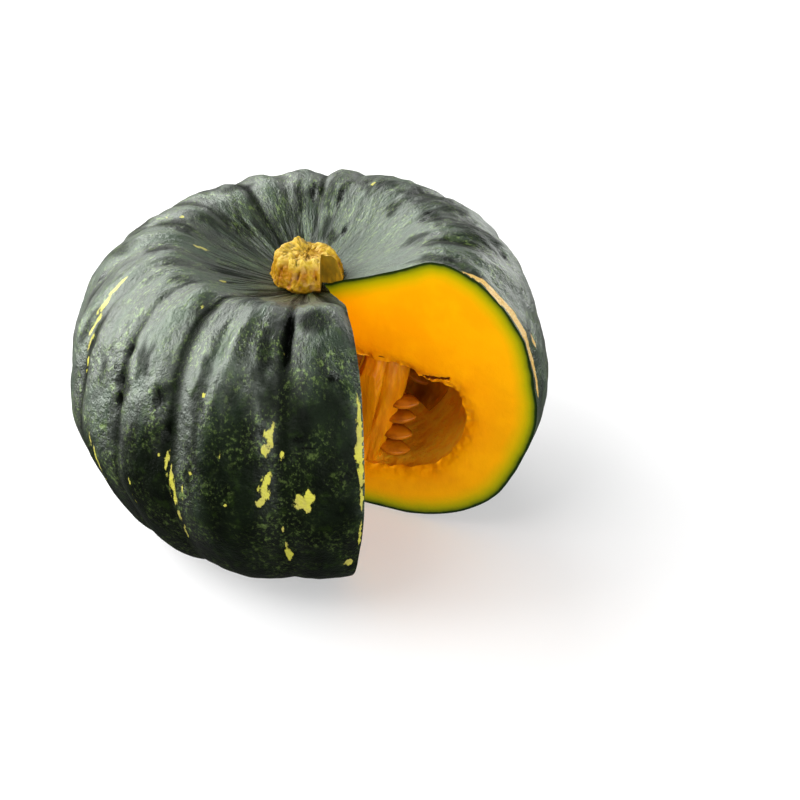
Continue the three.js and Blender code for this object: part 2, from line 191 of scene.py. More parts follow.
DENTS = [
    [248.2, 0.738, 3.4, 9.0, 1.1], [247.8, 0.707, 3.4, 9.0, 1.2], [247.2, 0.678, 3.2, 9.0, 0.9],
    [253.6, 0.757, 4.4, 10.0, -1.2], [253.4, 0.722, 4.4, 10.0, -1.4], [252.4, 0.690, 4.4, 10.0, -1.2],
    [250.6, 0.650, 4.5, 12.0, -0.9], [217.9, 0.737, 7.0, 12.0, -0.6], [232.2, 0.693, 5.0, 10.0, 0.6],
    [213.0, 0.690, 6.0, 9.0, -0.5],
]

# Ragged yellow flecks, and the pale corky stripe that runs down beside the right-hand cut.
FLECKS = [
    [264.0, 0.606, 1.1, 3.4], [263.4, 0.588, 1.7, 4.0], [262.7, 0.575, 1.2, 2.4],
    [266.3, 0.568, 0.8, 2.6], [262.9, 0.532, 2.0, 3.2], [262.5, 0.516, 2.1, 4.6],
    [261.9, 0.500, 1.9, 3.2], [270.4, 0.503, 2.6, 3.0], [271.9, 0.505, 2.6, 3.8],
    [271.2, 0.496, 3.4, 2.4], [266.1, 0.449, 0.6, 1.8], [266.6, 0.412, 0.9, 3.0],
    [266.9, 0.392, 1.3, 4.4], [253.9, 0.491, 0.7, 0.9], [238.5, 0.524, 0.9, 5.0],
    [239.8, 0.502, 1.1, 6.0], [240.9, 0.475, 1.0, 7.0], [241.2, 0.440, 0.9, 8.0],
    [240.9, 0.400, 0.7, 6.0], [243.2, 0.496, 0.5, 5.0], [245.6, 0.525, 1.0, 1.2],
    [252.7, 0.563, 0.8, 1.4], [236.5, 0.534, 0.7, 1.6], [228.0, 0.474, 0.5, 3.4],
    [227.9, 0.440, 0.5, 4.4], [211.6, 0.492, 0.8, 3.4], [213.6, 0.474, 1.0, 5.0],
    [214.4, 0.446, 0.8, 4.4], [198.4, 0.700, 0.9, 5.5], [199.4, 0.672, 1.3, 6.0],
    [200.6, 0.640, 1.0, 6.0], [202.0, 0.612, 0.9, 5.0], [203.3, 0.585, 0.8, 5.0],
    [233.6, 0.759, 0.8, 1.1], [177.8, 0.829, 0.7, 1.6], [177.0, 0.842, 0.9, 2.2],
    [212.8, 0.856, 0.9, 1.6], [157.3, 0.754, 0.8, 1.4], [156.5, 0.782, 0.9, 1.2],
    [247.2, 0.637, 0.7, 0.9], [61.8, 0.788, 1.1, 1.5], [266.1, 0.712, 0.7, 1.6],
    [280.9, 0.366, 1.8, 2.6], [284.4, 0.618, 1.0, 7.0], [284.0, 0.592, 1.8, 8.0],
    [283.9, 0.566, 2.2, 7.0], [283.9, 0.545, 1.5, 6.0], [283.6, 0.500, 0.9, 9.0],
    [283.3, 0.430, 0.6, 8.0], [104.0, 0.520, 1.2, 4.4], [105.4, 0.490, 0.9, 5.0],
    [131.0, 0.600, 1.6, 2.2], [152.6, 0.430, 1.2, 5.5], [58.0, 0.560, 1.5, 2.0],
    [30.5, 0.470, 1.0, 4.8], [77.0, 0.640, 0.9, 1.4],
]
STRIPES = [
    [340.2, 0.748, 0.5, 4.0], [340.4, 0.737, 0.8, 4.5], [340.8, 0.724, 1.2, 5.0],
    [341.0, 0.710, 1.6, 5.5], [341.1, 0.693, 2.0, 6.0], [341.1, 0.670, 2.2, 6.5],
    [341.1, 0.654, 2.2, 6.5], [341.0, 0.635, 2.1, 6.5], [341.0, 0.620, 2.0, 6.5],
    [340.9, 0.602, 1.8, 6.0], [340.8, 0.580, 1.5, 6.0], [340.7, 0.556, 1.2, 6.0],
    [340.6, 0.530, 0.9, 6.0], [344.2, 0.596, 1.1, 3.6],
]

# Where the wax is rubbed off and the skin is dull and dark, and smaller ragged patches with little wax.
# Many of these smaller patches are painted shade, darkening spots such as furrow flanks facing away from
# the light.
RUBBED = [
    [255.0, 0.515, 16, 47], [276.0, 0.545, 19, 52], [275.5, 0.765, 7, 9], [232.0, 0.470, 16, 36],
    [210.0, 0.420, 14, 26],
]
BARE_AND_SHADED = [
    [358.0, 0.775, 5, 16], [9.0, 0.830, 4, 9], [21.0, 0.790, 10, 6], [36.0, 0.765, 4, 14],
    [44.0, 0.820, 5, 7], [62.0, 0.780, 3, 17], [80.0, 0.815, 5, 12], [96.0, 0.830, 4, 12],
    [130.0, 0.740, 6, 11], [150.0, 0.820, 4, 15], [172.0, 0.690, 7, 10], [248.0, 0.800, 7, 9],
    [236.0, 0.560, 8, 14], [205.0, 0.600, 5, 15], [12.0, 0.735, 20, 12], [27.0, 0.750, 14, 11],
    [41.0, 0.745, 10, 12], [60.0, 0.780, 16, 8], [345.0, 0.800, 7, 12], [162.0, 0.775, 9, 12],
    [177.0, 0.710, 6, 10], [124.0, 0.773, 12, 6], [79.0, 0.880, 3, 10], [71.0, 0.900, 3, 8],
    [227.0, 0.650, 5, 11], [223.6, 0.607, 5, 10], [262.5, 0.630, 4, 22], [261.0, 0.680, 5, 20],
    [245.8, 0.590, 5, 30], [213.2, 0.596, 5, 11], [235.2, 0.611, 4, 10], [198.0, 0.620, 4, 12],
    [167.2, 0.801, 7, 9], [186.1, 0.775, 7, 8], [157.4, 0.702, 9, 8], [137.0, 0.849, 5, 9],
    [213.4, 0.781, 5, 6],
]

# How soft and ragged the edges of those patches and of scars are, and how deep a furrow counts as a crease.
RUBBED_EDGE = [-0.35, 0.55]
RUBBED_RAGGEDNESS = 0.2
BARE_EDGE = [-0.3, 0.8]
BARE_STRENGTH = 0.85
SCAR_RAGGEDNESS = 1.2
SCAR_SPREAD = 0.2
CREASE_DEPTHS = [0.1, 0.7]

# What the fields of the squash are where a surface doesn't set them. Distances are in mm. A mark's field
# falls from 1 at its middle through 0 at its edge to the value that it has far outside.
FAR_FROM_MARKS = -3.0
FAR_FROM_RIND = 30.0
FAR_FROM_HOLLOW = 99.0
UNSET_FIELDS = {
    "pale": FAR_FROM_MARKS, "stripe": FAR_FROM_MARKS, "scar": FAR_FROM_MARKS, "crease": 0.0, "rubbed": 0.0,
    "shade": 0.0, "depth": 0.0, "to_hollow": FAR_FROM_HOLLOW,
}

# Colours as they look on a screen: red, green and blue from 0 to 255. The two of a pair are blended into
# each other, and each stop of a ramp has its place.
RIND_GREENS = [(4, 8, 3), (13, 20, 9)]
WAX_GREENS = [(24, 43, 23), (43, 66, 41)]
MOTTLE_GREEN = (11, 19, 7)
OLIVE_GREEN = (46, 66, 18)
SPECKLE_GREEN = (122, 146, 76)
FLECK_YELLOWS = [(196, 192, 74), (180, 172, 86)]
STRIPE_CREAMS = [(222, 172, 80), (240, 204, 122)]
SCAR_GREEN = (4, 7, 3)
FLESH_FROM_RIND = [
    (0.0, (16, 34, 8)), (0.04, (28, 48, 10)), (0.065, (100, 112, 8)), (0.15, (162, 158, 3)),
    (0.28, (212, 172, 1)), (0.48, (238, 164, 0)), (1.0, (244, 162, 0)),
]
FLESH_RAMP_LENGTH = 20.0
FLESH_BY_SEEDS = [(238, 146, 0), (220, 124, 0)]
FLESH_BY_SEEDS_WIDTH = 16.0
FLESH_CLOUD = (254, 178, 0)
# The cracks in the cut face are darkened to this brown as painted shade.
CRACK_SHADE_BROWN = (92, 40, 2)
HOLLOW_STRINGS = [(252, 180, 22), (255, 204, 46)]
HOLLOW_PATCH = (242, 160, 14)

# The wax sets in between these lengths up the outline, in the map's unit. Below them the skin is painted
# darker and duller, as painted shade on the lower skin.
WAX_AND_SHADE_LENGTHS = [0.85, 1.65]

# Speckles in two sizes: scale, where they begin and are full, and offset.
SPECKLES = [[80, 0.52, 0.68, 14.3], [36, 0.56, 0.68, 21.7]]
SPECKLE_STRENGTH = 0.75


def smooth_outline(points, along):
    """Places on the smooth curve through the points, and its directions there, at shares of its length."""
    points = np.array(points, float)
    padded = np.vstack([points[0], points, points[-1]])
    dense = np.linspace(0, len(points) - 1, OUTLINE_SAMPLES)
    i = np.minimum(dense.astype(int), len(points) - 2)
    t = (dense - i)[:, None]
    start, end = padded[i + 1], padded[i + 2]
    leaving = (end - padded[i]) / 2
    arriving = (padded[i + 3] - start) / 2
    bend = -3 * start + 3 * end - 2 * leaving - arriving
    curve = (2 * start - 2 * end + leaving + arriving) * t**3 + bend * t**2 + leaving * t + start
    lengths = np.linalg.norm(np.diff(curve, axis=0), axis=1)
    share = np.concatenate([[0], np.cumsum(lengths)]) / lengths.sum()
    slope = np.gradient(curve, axis=0)
    slope /= np.linalg.norm(slope, axis=1, keepdims=True)
    axes = range(points.shape[1])
    place = np.stack([np.interp(along, share, curve[:, k]) for k in axes], -1)
    direction = np.stack([np.interp(along, share, slope[:, k]) for k in axes], -1)
    return place, direction


def smooth_step(low, high, value):
    """A smooth rise from 0 at low to 1 at high, flat on either side."""
    part = np.clip((value - low) / (high - low), 0, 1)
    return part * part * (3 - 2 * part)


def read_steps(steps, where):
    """The value at "where" of [place, value] steps joined by smooth ramps."""
    places, values = np.array(steps, float).T
    i = np.clip(np.searchsorted(places, where), 1, len(steps) - 1)
    part = smooth_step(places[i - 1], places[i], where)
    return values[i - 1] + (values[i] - values[i - 1]) * part


def noise_at(points, size, seed):
    """Smooth noise from about -1 to 1, in lumps about "size" across."""
    flat = (points.reshape(-1, 3) / size + NOISE_APART * seed).tolist()
    return np.array([noise.noise(p) for p in flat]).reshape(points.shape[:-1])


def noise_layers(points, layers, seed=0, folded=False):
    """The sum of layers of noise. Folded ones have a sharp crease where they would change sign."""
    total = 0
    for height, size, squeeze, layer_seed in layers:
        lumps = noise_at(points * [1, 1, squeeze], size, seed + layer_seed)
        total = total + height * (np.abs(lumps) if folded else lumps)
    return total


def spread(closeness, count, low, high):
    """Shares from 0 to 1, closer together where the steps say so."""
    dense = np.linspace(low, high, SPREAD_SAMPLES)
    total = np.cumsum(read_steps(closeness, dense))
    total = (total - total[0]) / (total[-1] - total[0])
    return np.interp(np.linspace(0, 1, count), total, np.linspace(0, 1, SPREAD_SAMPLES))


def round_grid(outline_steps, foot_corner, top_corner, columns):
    """Shares of an outline and angles for a round surface that the two knife strokes cut open, with the
    outline's length. Rows nearer the axis than where the strokes meet are whole rings. The others, from the
    first to the last open row, run from the right-hand cut round to the left-hand one."""
    probe = np.linspace(0, 1, SPREAD_SAMPLES)
    outline = smooth_outline(outline_steps, probe)[0]
    length = np.linalg.norm(np.diff(outline, axis=0), axis=1).sum()
    foot = foot_corner[1] / length
    top = 1 - top_corner[1] / length
    along = np.concatenate([
        np.linspace(0, foot, WHOLE_FOOT_ROWS + 1)[:-1],
        foot + (top - foot) * spread(ROW_CLOSENESS, SKIN_ROWS, 0, 1),
        np.linspace(top, 1, WHOLE_TOP_ROWS + 1)[1:],
    ])
    radius = np.maximum(np.interp(along, probe, outline[:, 0]), 1e-6)
    height = np.interp(along, probe, outline[:, 1])
    right_offset = -CUT_MEETS_X * math.sin(math.radians(CUT_RIGHT))
    left_meets_x = CUT_MEETS_X + CUT_LEFT_LEAN * (height - CUT_MEETS_Z)
    left_offset = -left_meets_x * math.sin(math.radians(CUT_LEFT))
    right = CUT_RIGHT + np.degrees(np.arcsin(np.clip(right_offset / radius, -1, 1)))
    left = CUT_LEFT + 360 + np.degrees(np.arcsin(np.clip(left_offset / radius, -1, 1)))
    first = WHOLE_FOOT_ROWS
    last = first + SKIN_ROWS - 1
    for rows, corner in ((slice(None, first + 1), foot_corner), (slice(last, None), top_corner)):
        right[rows] = corner[0]
        left[rows] = corner[0] + 360
    across = spread(COLUMN_CLOSENESS, columns + 1, CUT_RIGHT, CUT_LEFT + 360)
    degrees = right[:, None] + (left - right)[:, None] * across
    return along, degrees, length, first, last


def onto_cuts(points, first, last):
    """The open rows' ends, moved onto the two planes of the cut."""
    right, left = math.radians(CUT_RIGHT), math.radians(CUT_LEFT)
    right_normal = np.array([math.sin(right), -math.cos(right), 0])
    left_normal = np.array([-math.sin(left), math.cos(left), math.sin(left) * CUT_LEFT_LEAN])
    left_normal /= np.linalg.norm(left_normal)
    meets = np.array([CUT_MEETS_X, 0, CUT_MEETS_Z])
    rows = slice(first, last + 1)
    for column, normal in ((0, right_normal), (-1, left_normal)):
        off = (points[rows, column] - meets) @ normal
        points[rows, column] -= off[:, None] * normal
    for row in (first, last):
        points[row, -1] = points[row, 0]
    points[:first, -1] = points[:first, 0]
    points[last + 1 :, -1] = points[last + 1 :, 0]
    return points


def around(degrees, radius, height):
    """Places at angles round the axis, out from it and up."""
    angle = np.radians(degrees)
    height = np.broadcast_to(height, radius.shape)
    return np.stack([radius * np.cos(angle), radius * np.sin(angle), height], -1)


def grid_faces(rows, columns, offset, flip=False):
    """The four-sided faces between the points of a grid, whose first point has the number "offset"."""
    row, column = np.meshgrid(np.arange(rows - 1), np.arange(columns - 1), indexing="ij")
    low = offset + row * columns + column
    faces = np.stack([low, low + 1, low + columns + 1, low + columns], -1).reshape(-1, 4)
    return faces[:, ::-1] if flip else faces


def marks_field(marks, degrees, along, radius, length):
    """How far inside the nearest mark each place is: 1 at its middle, 0 at its edge and less outside."""
    field = np.full(degrees.shape, FAR_FROM_MARKS)
    for at_degrees, at_along, half_width, half_length, *_ in marks:
        turn = (degrees - at_degrees + 180) % 360 - 180
        across = np.radians(turn) * radius / half_width
        down = (along - at_along)[:, None] * length / half_length
        field = np.maximum(field, 1 - np.hypot(across, down))
    return field


def lobes_and_furrows(up, turn):
    """How far the lobes and furrows stand out from the outline, and how creased the skin is."""
    furrows = np.array(FURROWS)
    starts = np.append(furrows[:, 0], 360)
    lobe = np.clip(np.searchsorted(starts, turn, side="right") - 1, 0, len(furrows) - 1)
    part = (turn - starts[lobe]) / (starts[lobe + 1] - starts[lobe])
    arch = np.sin(np.pi * part)
    strength = furrows[lobe, 1] * (1 - part) + furrows[(lobe + 1) % len(furrows), 1] * part
    for where, strengths in ((DISH, DISH_FURROWS), (HIGH_SHOULDER, SHOULDER_FURROWS)):
        strength = strength * (1 - read_steps(where, up) * (1 - read_steps(strengths, turn)))
    crest = np.minimum(1, (arch**2 + read_steps(FURROW_ROUNDING, up)) ** (FURROW_SHARPNESS / 2))
    furrow = read_steps(FURROW_DEPTH, up) * strength * (1 - crest)
    swell = furrows[lobe, 2] * arch * np.sin(np.pi * up) ** 2
    crease = (1 - crest) * read_steps(CREASED_PART, up) * smooth_step(*CREASE_DEPTHS, strength)
    return swell - furrow - SKIN_INSET * np.sin(np.pi * up), crease


def skin_relief(up, turn, lines):
    """Lumps, wrinkles, ridges and pleats, all drawn out along the lobes."""
    dish = read_steps(DISH, up)
    lumps = noise_layers(lines, LUMPS) + noise_layers(lines, WRINKLES, folded=True)
    fine = read_steps(LUMPS_UP, up) * lumps + read_steps(RIDGES_UP, up) * noise_layers(lines, RIDGES)
    pleats = read_steps(PLEATS, turn) * noise_layers(lines, PLEAT_FOLDS)
    return read_steps(ABOVE_FOOT, up) * fine * (1 - DISH_SMOOTHNESS * dish) + dish * pleats


def skin_surface():
    """The skin's points, its fields, its map, and its first and last open rows."""
    along, degrees, length, first, last = round_grid(
        SKIN_OUTLINE, SKIN_FOOT_CORNER, SKIN_TOP_CORNER, SKIN_COLUMNS
    )
    on, slope = smooth_outline(SKIN_OUTLINE, along)
    up = along[:, None]
    turn = degrees % 360
    turn = turn + read_steps(FURROW_LEAN, turn) * read_steps(HIGH_SHOULDER, up)
    lines = around(degrees, np.full(degrees.shape, GIRTH_RADIUS), up * length)
    grid = (degrees, along, on[:, 0:1], length)

    out, crease = lobes_and_furrows(up, turn)
    out = out + skin_relief(up, turn, lines)
    for mark in SCARS + DENTS:
        inside = marks_field([mark], *grid)
        out = out - mark[4] * np.exp(-((1 - inside) ** 2) * 2)
    out = out + read_steps(CREST_RISE, turn) * read_steps(CREST, up)
    radius = np.maximum(0, on[:, 0:1] + out * slope[:, 1:2])
    height = np.maximum(0, on[:, 1:2] - out * slope[:, 0:1])
    points = onto_cuts(around(degrees, radius, height), first, last)

    frayed = noise_layers(lines, FRAYED_EDGES)
    worn = noise_layers(lines, WORN_EDGES)
    rubbed = smooth_step(*RUBBED_EDGE, marks_field(RUBBED, *grid) + RUBBED_RAGGEDNESS * worn)
    bare_and_shaded = BARE_STRENGTH * smooth_step(*BARE_EDGE, marks_field(BARE_AND_SHADED, *grid) + worn)
    fields = {
        "pale": marks_field(FLECKS, *grid) + frayed,
        "stripe": marks_field(STRIPES, *grid),
        "scar": marks_field(SCARS, *grid) + SCAR_RAGGEDNESS * frayed + SCAR_SPREAD,
        "crease": crease,
        # Part of this is painted shade: the smaller patches darken shaded spots.
        "rubbed": np.maximum(rubbed, bare_and_shaded),
        # Painted shade: streaks on the dish's side that faces away from the light.
        "shade": read_steps(DISH_PAINTED_SHADE, turn) * read_steps(DISH_SIDE, up),
    }
    around_mm = np.radians(degrees) * GIRTH_RADIUS
    along_mm = np.broadcast_to(up * length, degrees.shape)
    return points, fields, np.stack([around_mm, along_mm], -1) / MAP_UNIT, first, last


def hollow_surface():
    """The points of the seed hollow's wall, and its first and last open rows, as many as the skin has."""
    along, degrees, length, first, last = round_grid(
        HOLLOW_OUTLINE, HOLLOW_FOOT_CORNER, HOLLOW_TOP_CORNER, HOLLOW_COLUMNS
    )
    on, slope = smooth_outline(HOLLOW_OUTLINE, along)
    rise = np.sin(np.pi * along)[:, None]
    lines = around(degrees, np.full(degrees.shape, HOLLOW_GIRTH_RADIUS), (along * length)[:, None])
    ripples = HOLLOW_RIPPLE * np.sin(np.radians(HOLLOW_RIPPLES * degrees)) * rise
    torn = noise_layers(lines, HOLLOW_TEARS) * smooth_step(0, LIP_ENDS, rise)
    flap_at, flap_along, flap_turn, flap_reach, flap_drop = FLAP
    turn = (degrees - flap_at + 180) % 360 - 180
    from_flap = np.hypot(turn / flap_turn, (along[:, None] - flap_along) / flap_reach)
    inset = ripples + HOLLOW_INSET + torn + flap_drop * np.exp(-(from_flap**2))
    radius = np.maximum(0, on[:, 0:1] - inset * slope[:, 1:2])
    height = on[:, 1:2] + inset * slope[:, 0:1]
    return onto_cuts(around(degrees, radius, height), first, last), first, last


def distance_to_line(points, line):
    """The distance of each point to the nearest place on a line of points."""
    start = line[:-1]
    step = line[1:] - start
    size = np.maximum((step * step).sum(-1), 1e-9)
    nearest = np.full(len(points), 1e9)
    for a, s, n in zip(start, step, size):
        part = np.clip(((points - a) @ s) / n, 0, 1)
        nearest = np.minimum(nearest, np.linalg.norm(points - a - part[:, None] * s, axis=1))
    return nearest


def flesh_surface(rind, hollow, inwards, cracks):
    """One cut face, from the rind's edge across to the hollow's, where it rounds off inwards into a torn
    lip. With it come each point's depth under the rind, distance from the hollow and place in a crack."""
    share = np.linspace(0, 1, FLESH_STEPS + 1)
    share = 0.5 * share + 0.5 * np.sin(np.pi / 2 * share)
    points = rind[:, None] + (hollow - rind)[:, None] * share[:, None]
    flat = points.reshape(-1, 3)
    under_rind = distance_to_line(flat, rind).reshape(points.shape[:2])
    from_hollow = distance_to_line(flat, hollow).reshape(points.shape[:2])
    torn = 1 + noise_layers(points, LIP_TEARS)
    down = np.linspace(0, 1, len(rind))[:, None]
    inner = smooth_step(0, LIP_ENDS, down) * smooth_step(0, LIP_ENDS, 1 - down)
    lip = inner * LIP_DEPTH * np.maximum(0, 1 - from_hollow / LIP_WIDTH) ** 2 * torn
    cracked = np.full(points.shape[:2], FAR_FROM_MARKS)
    for low, high, half_width, crack_depth in cracks:
        line = np.array([[CUT_MEETS_X + t * inwards[1], -t * inwards[0], z] for t, z in (low, high)])
        inside = 1 - distance_to_line(flat, line).reshape(points.shape[:2]) / half_width
        cracked = np.maximum(cracked, inside)
        lip = np.maximum(lip, crack_depth * smooth_step(*CRACK_EDGE, inside))
    points = points + lip[..., None] * inwards
    return points, under_rind, from_hollow, cracked


def mesh_from(name, points, faces, values, face_materials):
    """A mesh from points in mm, with a value per point for each field and a material's number per face."""
    mesh = bpy.data.meshes.new(name)
    mesh.from_pydata((points * MILLIMETRE).tolist(), [], faces.tolist())
    for key, value in values.items():
        mesh.attributes.new(key, "FLOAT", "POINT").data.foreach_set("value", value.astype(np.float32))
    mesh.polygons.foreach_set("material_index", face_materials.astype(np.int32))
    return mesh


def join_seams(mesh):
    """Joins points that lie on each other, and smooths the shading up to the sharp edges."""
    work = bmesh.new()
    work.from_mesh(mesh)
    bmesh.ops.remove_doubles(work, verts=work.verts, dist=JOIN_DISTANCE)
    bmesh.ops.recalc_face_normals(work, faces=work.faces)
    work.to_mesh(mesh)
    work.free()
    mesh.shade_smooth()
    mesh.set_sharp_from_angle(angle=math.radians(SHARP_ANGLE))


def put_in_scene(name, mesh, materials, slot, *replaced):
    """Puts the mesh in the scene as a piece that rides on the part and stands for the replaced nodes."""
    for material in materials:
        mesh.materials.append(material)
    piece = bpy.data.objects.new(name, mesh)
    bpy.context.scene.collection.objects.link(piece)
    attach(piece, "root")
    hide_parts(*replaced)


class Shade:
    """What one shader node gives. Sums on shades, and their methods, add the nodes that work them out."""

    def __init__(self, node, output):
        self.tree = node.id_data
        self.socket = node.outputs[output]

    def __add__(self, other):
        return self.calculate("ADD", self, other)

    def __sub__(self, other):
        return self.calculate("SUBTRACT", self, other)

    def __rsub__(self, other):
        return self.calculate("SUBTRACT", other, self)

    def __mul__(self, other):
        return self.calculate("MULTIPLY", self, other)

    def __truediv__(self, other):
        return self.calculate("DIVIDE", self, other)

    def at_least(self, low):
        """This shade, or the low value where it is below it."""
        return self.calculate("MAXIMUM", self, low)

    def calculate(self, operation, a, b):
        """One of Blender's math operations on two shades or numbers."""
        return add_node(self.tree, "ShaderNodeMath", 0, {0: a, 1: b}, operation=operation)

    def part(self, axis):
        """The X, Y or Z of a place."""
        return add_node(self.tree, "ShaderNodeSeparateXYZ", axis, {"Vector": self})

    def noise(self, scale, detail, roughness, squeeze=(1, 1, 1), offset=0.0):
        """Noise from 0 to 1 at this place. A squeeze below 1 draws its lumps out along that axis."""
        inputs = {"Vector": self, "Scale": squeeze, "Location": (offset,) * 3}
        moved = add_node(self.tree, "ShaderNodeMapping", 0, inputs)
        inputs = {"Vector": moved, "Scale": scale, "Detail": detail, "Roughness": roughness}
        return add_node(self.tree, "ShaderNodeTexNoise", "Fac", inputs)

    def ease(self, low, high, to_low=0.0, to_high=1.0):
        """A smooth change from to_low to to_high as this shade goes from low to high."""
        inputs = {"Value": self, "From Min": low, "From Max": high, "To Min": to_low, "To Max": to_high}
        return add_node(self.tree, "ShaderNodeMapRange", 0, inputs, interpolation_type="SMOOTHSTEP")

    def blend(self, a, b):
        """The first colour where this shade is 0 and the second where it is 1."""
        inputs = {"Factor": self, 6: shader_colour(a), 7: shader_colour(b)}
        return add_node(self.tree, "ShaderNodeMix", 2, inputs, data_type="RGBA")

    def ramp(self, stops):
        """The colours of the stops, each at its place."""
        tint = add_node(self.tree, "ShaderNodeValToRGB", "Color", {"Fac": self})
        elements = tint.socket.node.color_ramp.elements
        while len(elements) < len(stops):
            elements.new(0.5)
        for element, (place, stop_colour) in zip(elements, stops):
            element.position = place
            element.color = shader_colour(stop_colour)
        return tint

    def bump(self, distance, strength):
        """The surface's direction where this shade is its height, in steps of "distance" metres."""
        inputs = {"Height": self, "Distance": distance, "Strength": strength}
        return add_node(self.tree, "ShaderNodeBump", "Normal", inputs)


def shader_colour(given):
    """A shade as it is, or a colour as it looks on a screen turned into what the shaders want."""
    if isinstance(given, Shade):
        return given
    parts = []
    for part in given:
        share = part / 255
        parts.append(share / 12.92 if share < 0.04045 else ((share + 0.055) / 1.055) ** 2.4)
    return (*parts, 1)


def set_inputs(node, inputs):
    """Links each input of the node to a shade, or sets it to a value."""
    for key, value in inputs.items():
        if isinstance(value, Shade):
            node.id_data.links.new(value.socket, node.inputs[key])
        else:
            node.inputs[key].default_value = value


def add_node(tree, kind, output, inputs, **settings):
    """One output of a new shader node."""
    node = tree.nodes.new(kind)
    for key, value in settings.items():
        setattr(node, key, value)
    set_inputs(node, inputs)
    return Shade(node, output)


def new_material(name):
    """A new material and its shader."""
    material = bpy.data.materials.new(name)
    material.use_nodes = True
    return material, material.node_tree.nodes["Principled BSDF"]


def place_of(shader):
    """Where each point lies on its piece, in metres."""
    return add_node(shader.id_data, "ShaderNodeTexCoord", "Object", {})


def field_of(shader, name):
    """One of the mesh's fields."""
    return add_node(shader.id_data, "ShaderNodeAttribute", "Fac", {}, attribute_name=name)


def skin_material():
    """Dark green rind under grey-green wax with speckles, rubbed off in patches.
    Painted light makes it lighter on top, and painted shade darker and duller low down, in the creases
    and in streaks on the dish's side.
    """
    material, shader = new_material("squash_skin")
    place = add_node(shader.id_data, "ShaderNodeUVMap", "UV", {}, uv_map="lines")
    crease = field_of(shader, "crease")
    broad = place.noise(4.2, 3, 0.6, (1, 0.45, 1))
    streaks = place.noise(16, 5, 0.62, (1, 0.3, 1), 3.1)
    blots = place.noise(12, 4, 0.6, (1, 0.7, 1), 6.6)
    grain = place.noise(150, 3, 0.6, (1, 0.8, 1), 5.3)
    pebbles = place.noise(75, 2, 0.5, (1, 0.9, 1), 8.7)
    dimples = place.noise(28, 3, 0.55, (1, 0.8, 1), 1.9)

    # How much wax the skin keeps where it is rubbed, and how thick it is. Taking it away low down, in the
    # creases and in streaks on the dish's side is painted shade, which darkens and dulls the skin there.
    runs = place.noise(14, 4, 0.62, (1, 0.16, 1), 9.4).ease(0.44, 0.56) * field_of(shader, "shade")
    unshaded_wax = 1.0 - field_of(shader, "rubbed") * 0.92
    unshaded_wax = unshaded_wax * place.part("Y").ease(*WAX_AND_SHADE_LENGTHS, 0.06, 1.0) * crease.ease(0.3, 0.72, 1.0, 0.15)
    unshaded_wax = unshaded_wax * runs.ease(0.0, 1.0, 1.0, 0.15)
    # Painted shade: the creases are darkened.
    wax = broad * 0.45 + streaks * 0.35 + blots * 0.2 - crease * 0.35
    wax = wax.ease(0.40, 0.52) * unshaded_wax

    green = blots.ease(0.35, 0.65).blend(*RIND_GREENS)
    waxed = streaks.ease(0.4, 0.65).blend(*WAX_GREENS)
    tint = (wax * 0.85).blend(green, waxed)
    mottle = place.noise(24, 5, 0.7, (1, 0.6, 1), 31.3).ease(0.52, 0.66, 0.0, 0.75)
    tint = mottle.blend(tint, MOTTLE_GREEN)
    olive = place.noise(20, 4, 0.6, (1, 0.8, 1), 17.3).ease(0.52, 0.68, 0.0, 0.7)
    upper = unshaded_wax.ease(0.05, 0.6, 0.3, 1.0)
    tint = (olive * upper).blend(tint, OLIVE_GREEN)
    speckled = place.noise(8, 2, 0.5, (1, 0.8, 1), 12.1).ease(0.40, 0.60) * upper
    for scale, low, high, offset in SPECKLES:
        speckle = place.noise(scale, 4, 0.65, (1, 0.75, 1), offset).ease(low, high) * speckled
        tint = (speckle * SPECKLE_STRENGTH).blend(tint, SPECKLE_GREEN)

    # Marks have ragged, brushed edges.
    brushed = place.noise(46, 4, 0.6, (1, 0.45, 1)) - 0.5
    fleck = (field_of(shader, "pale") + brushed * 3.0).ease(0.02, 0.34)
    tint = fleck.blend(tint, blots.ease(0.4, 0.6).blend(*FLECK_YELLOWS))
    stripe = (field_of(shader, "stripe") + brushed * 0.9).ease(0.02, 0.22)
    tint = stripe.blend(tint, grain.ease(0.35, 0.65).blend(*STRIPE_CREAMS))
    scar = (field_of(shader, "scar") + brushed * 2.2).ease(0.05, 0.25)
    relief = pebbles * 0.7 + grain * 0.4 + dimples * 1.1
    set_inputs(shader, {
        "Base Color": scar.blend(tint, SCAR_GREEN),
        "Roughness": unshaded_wax.ease(0, 1, 0.52, 0.37) + fleck * 0.1 - scar * 0.2,
        "IOR": 1.6,
        "Specular IOR Level": unshaded_wax.ease(0.0, 0.9, 0.04, 1.0),
        "Specular Tint": (0.9, 1, 0.88, 1),
        "Normal": relief.bump(0.0008, 0.8),
    })
    return material


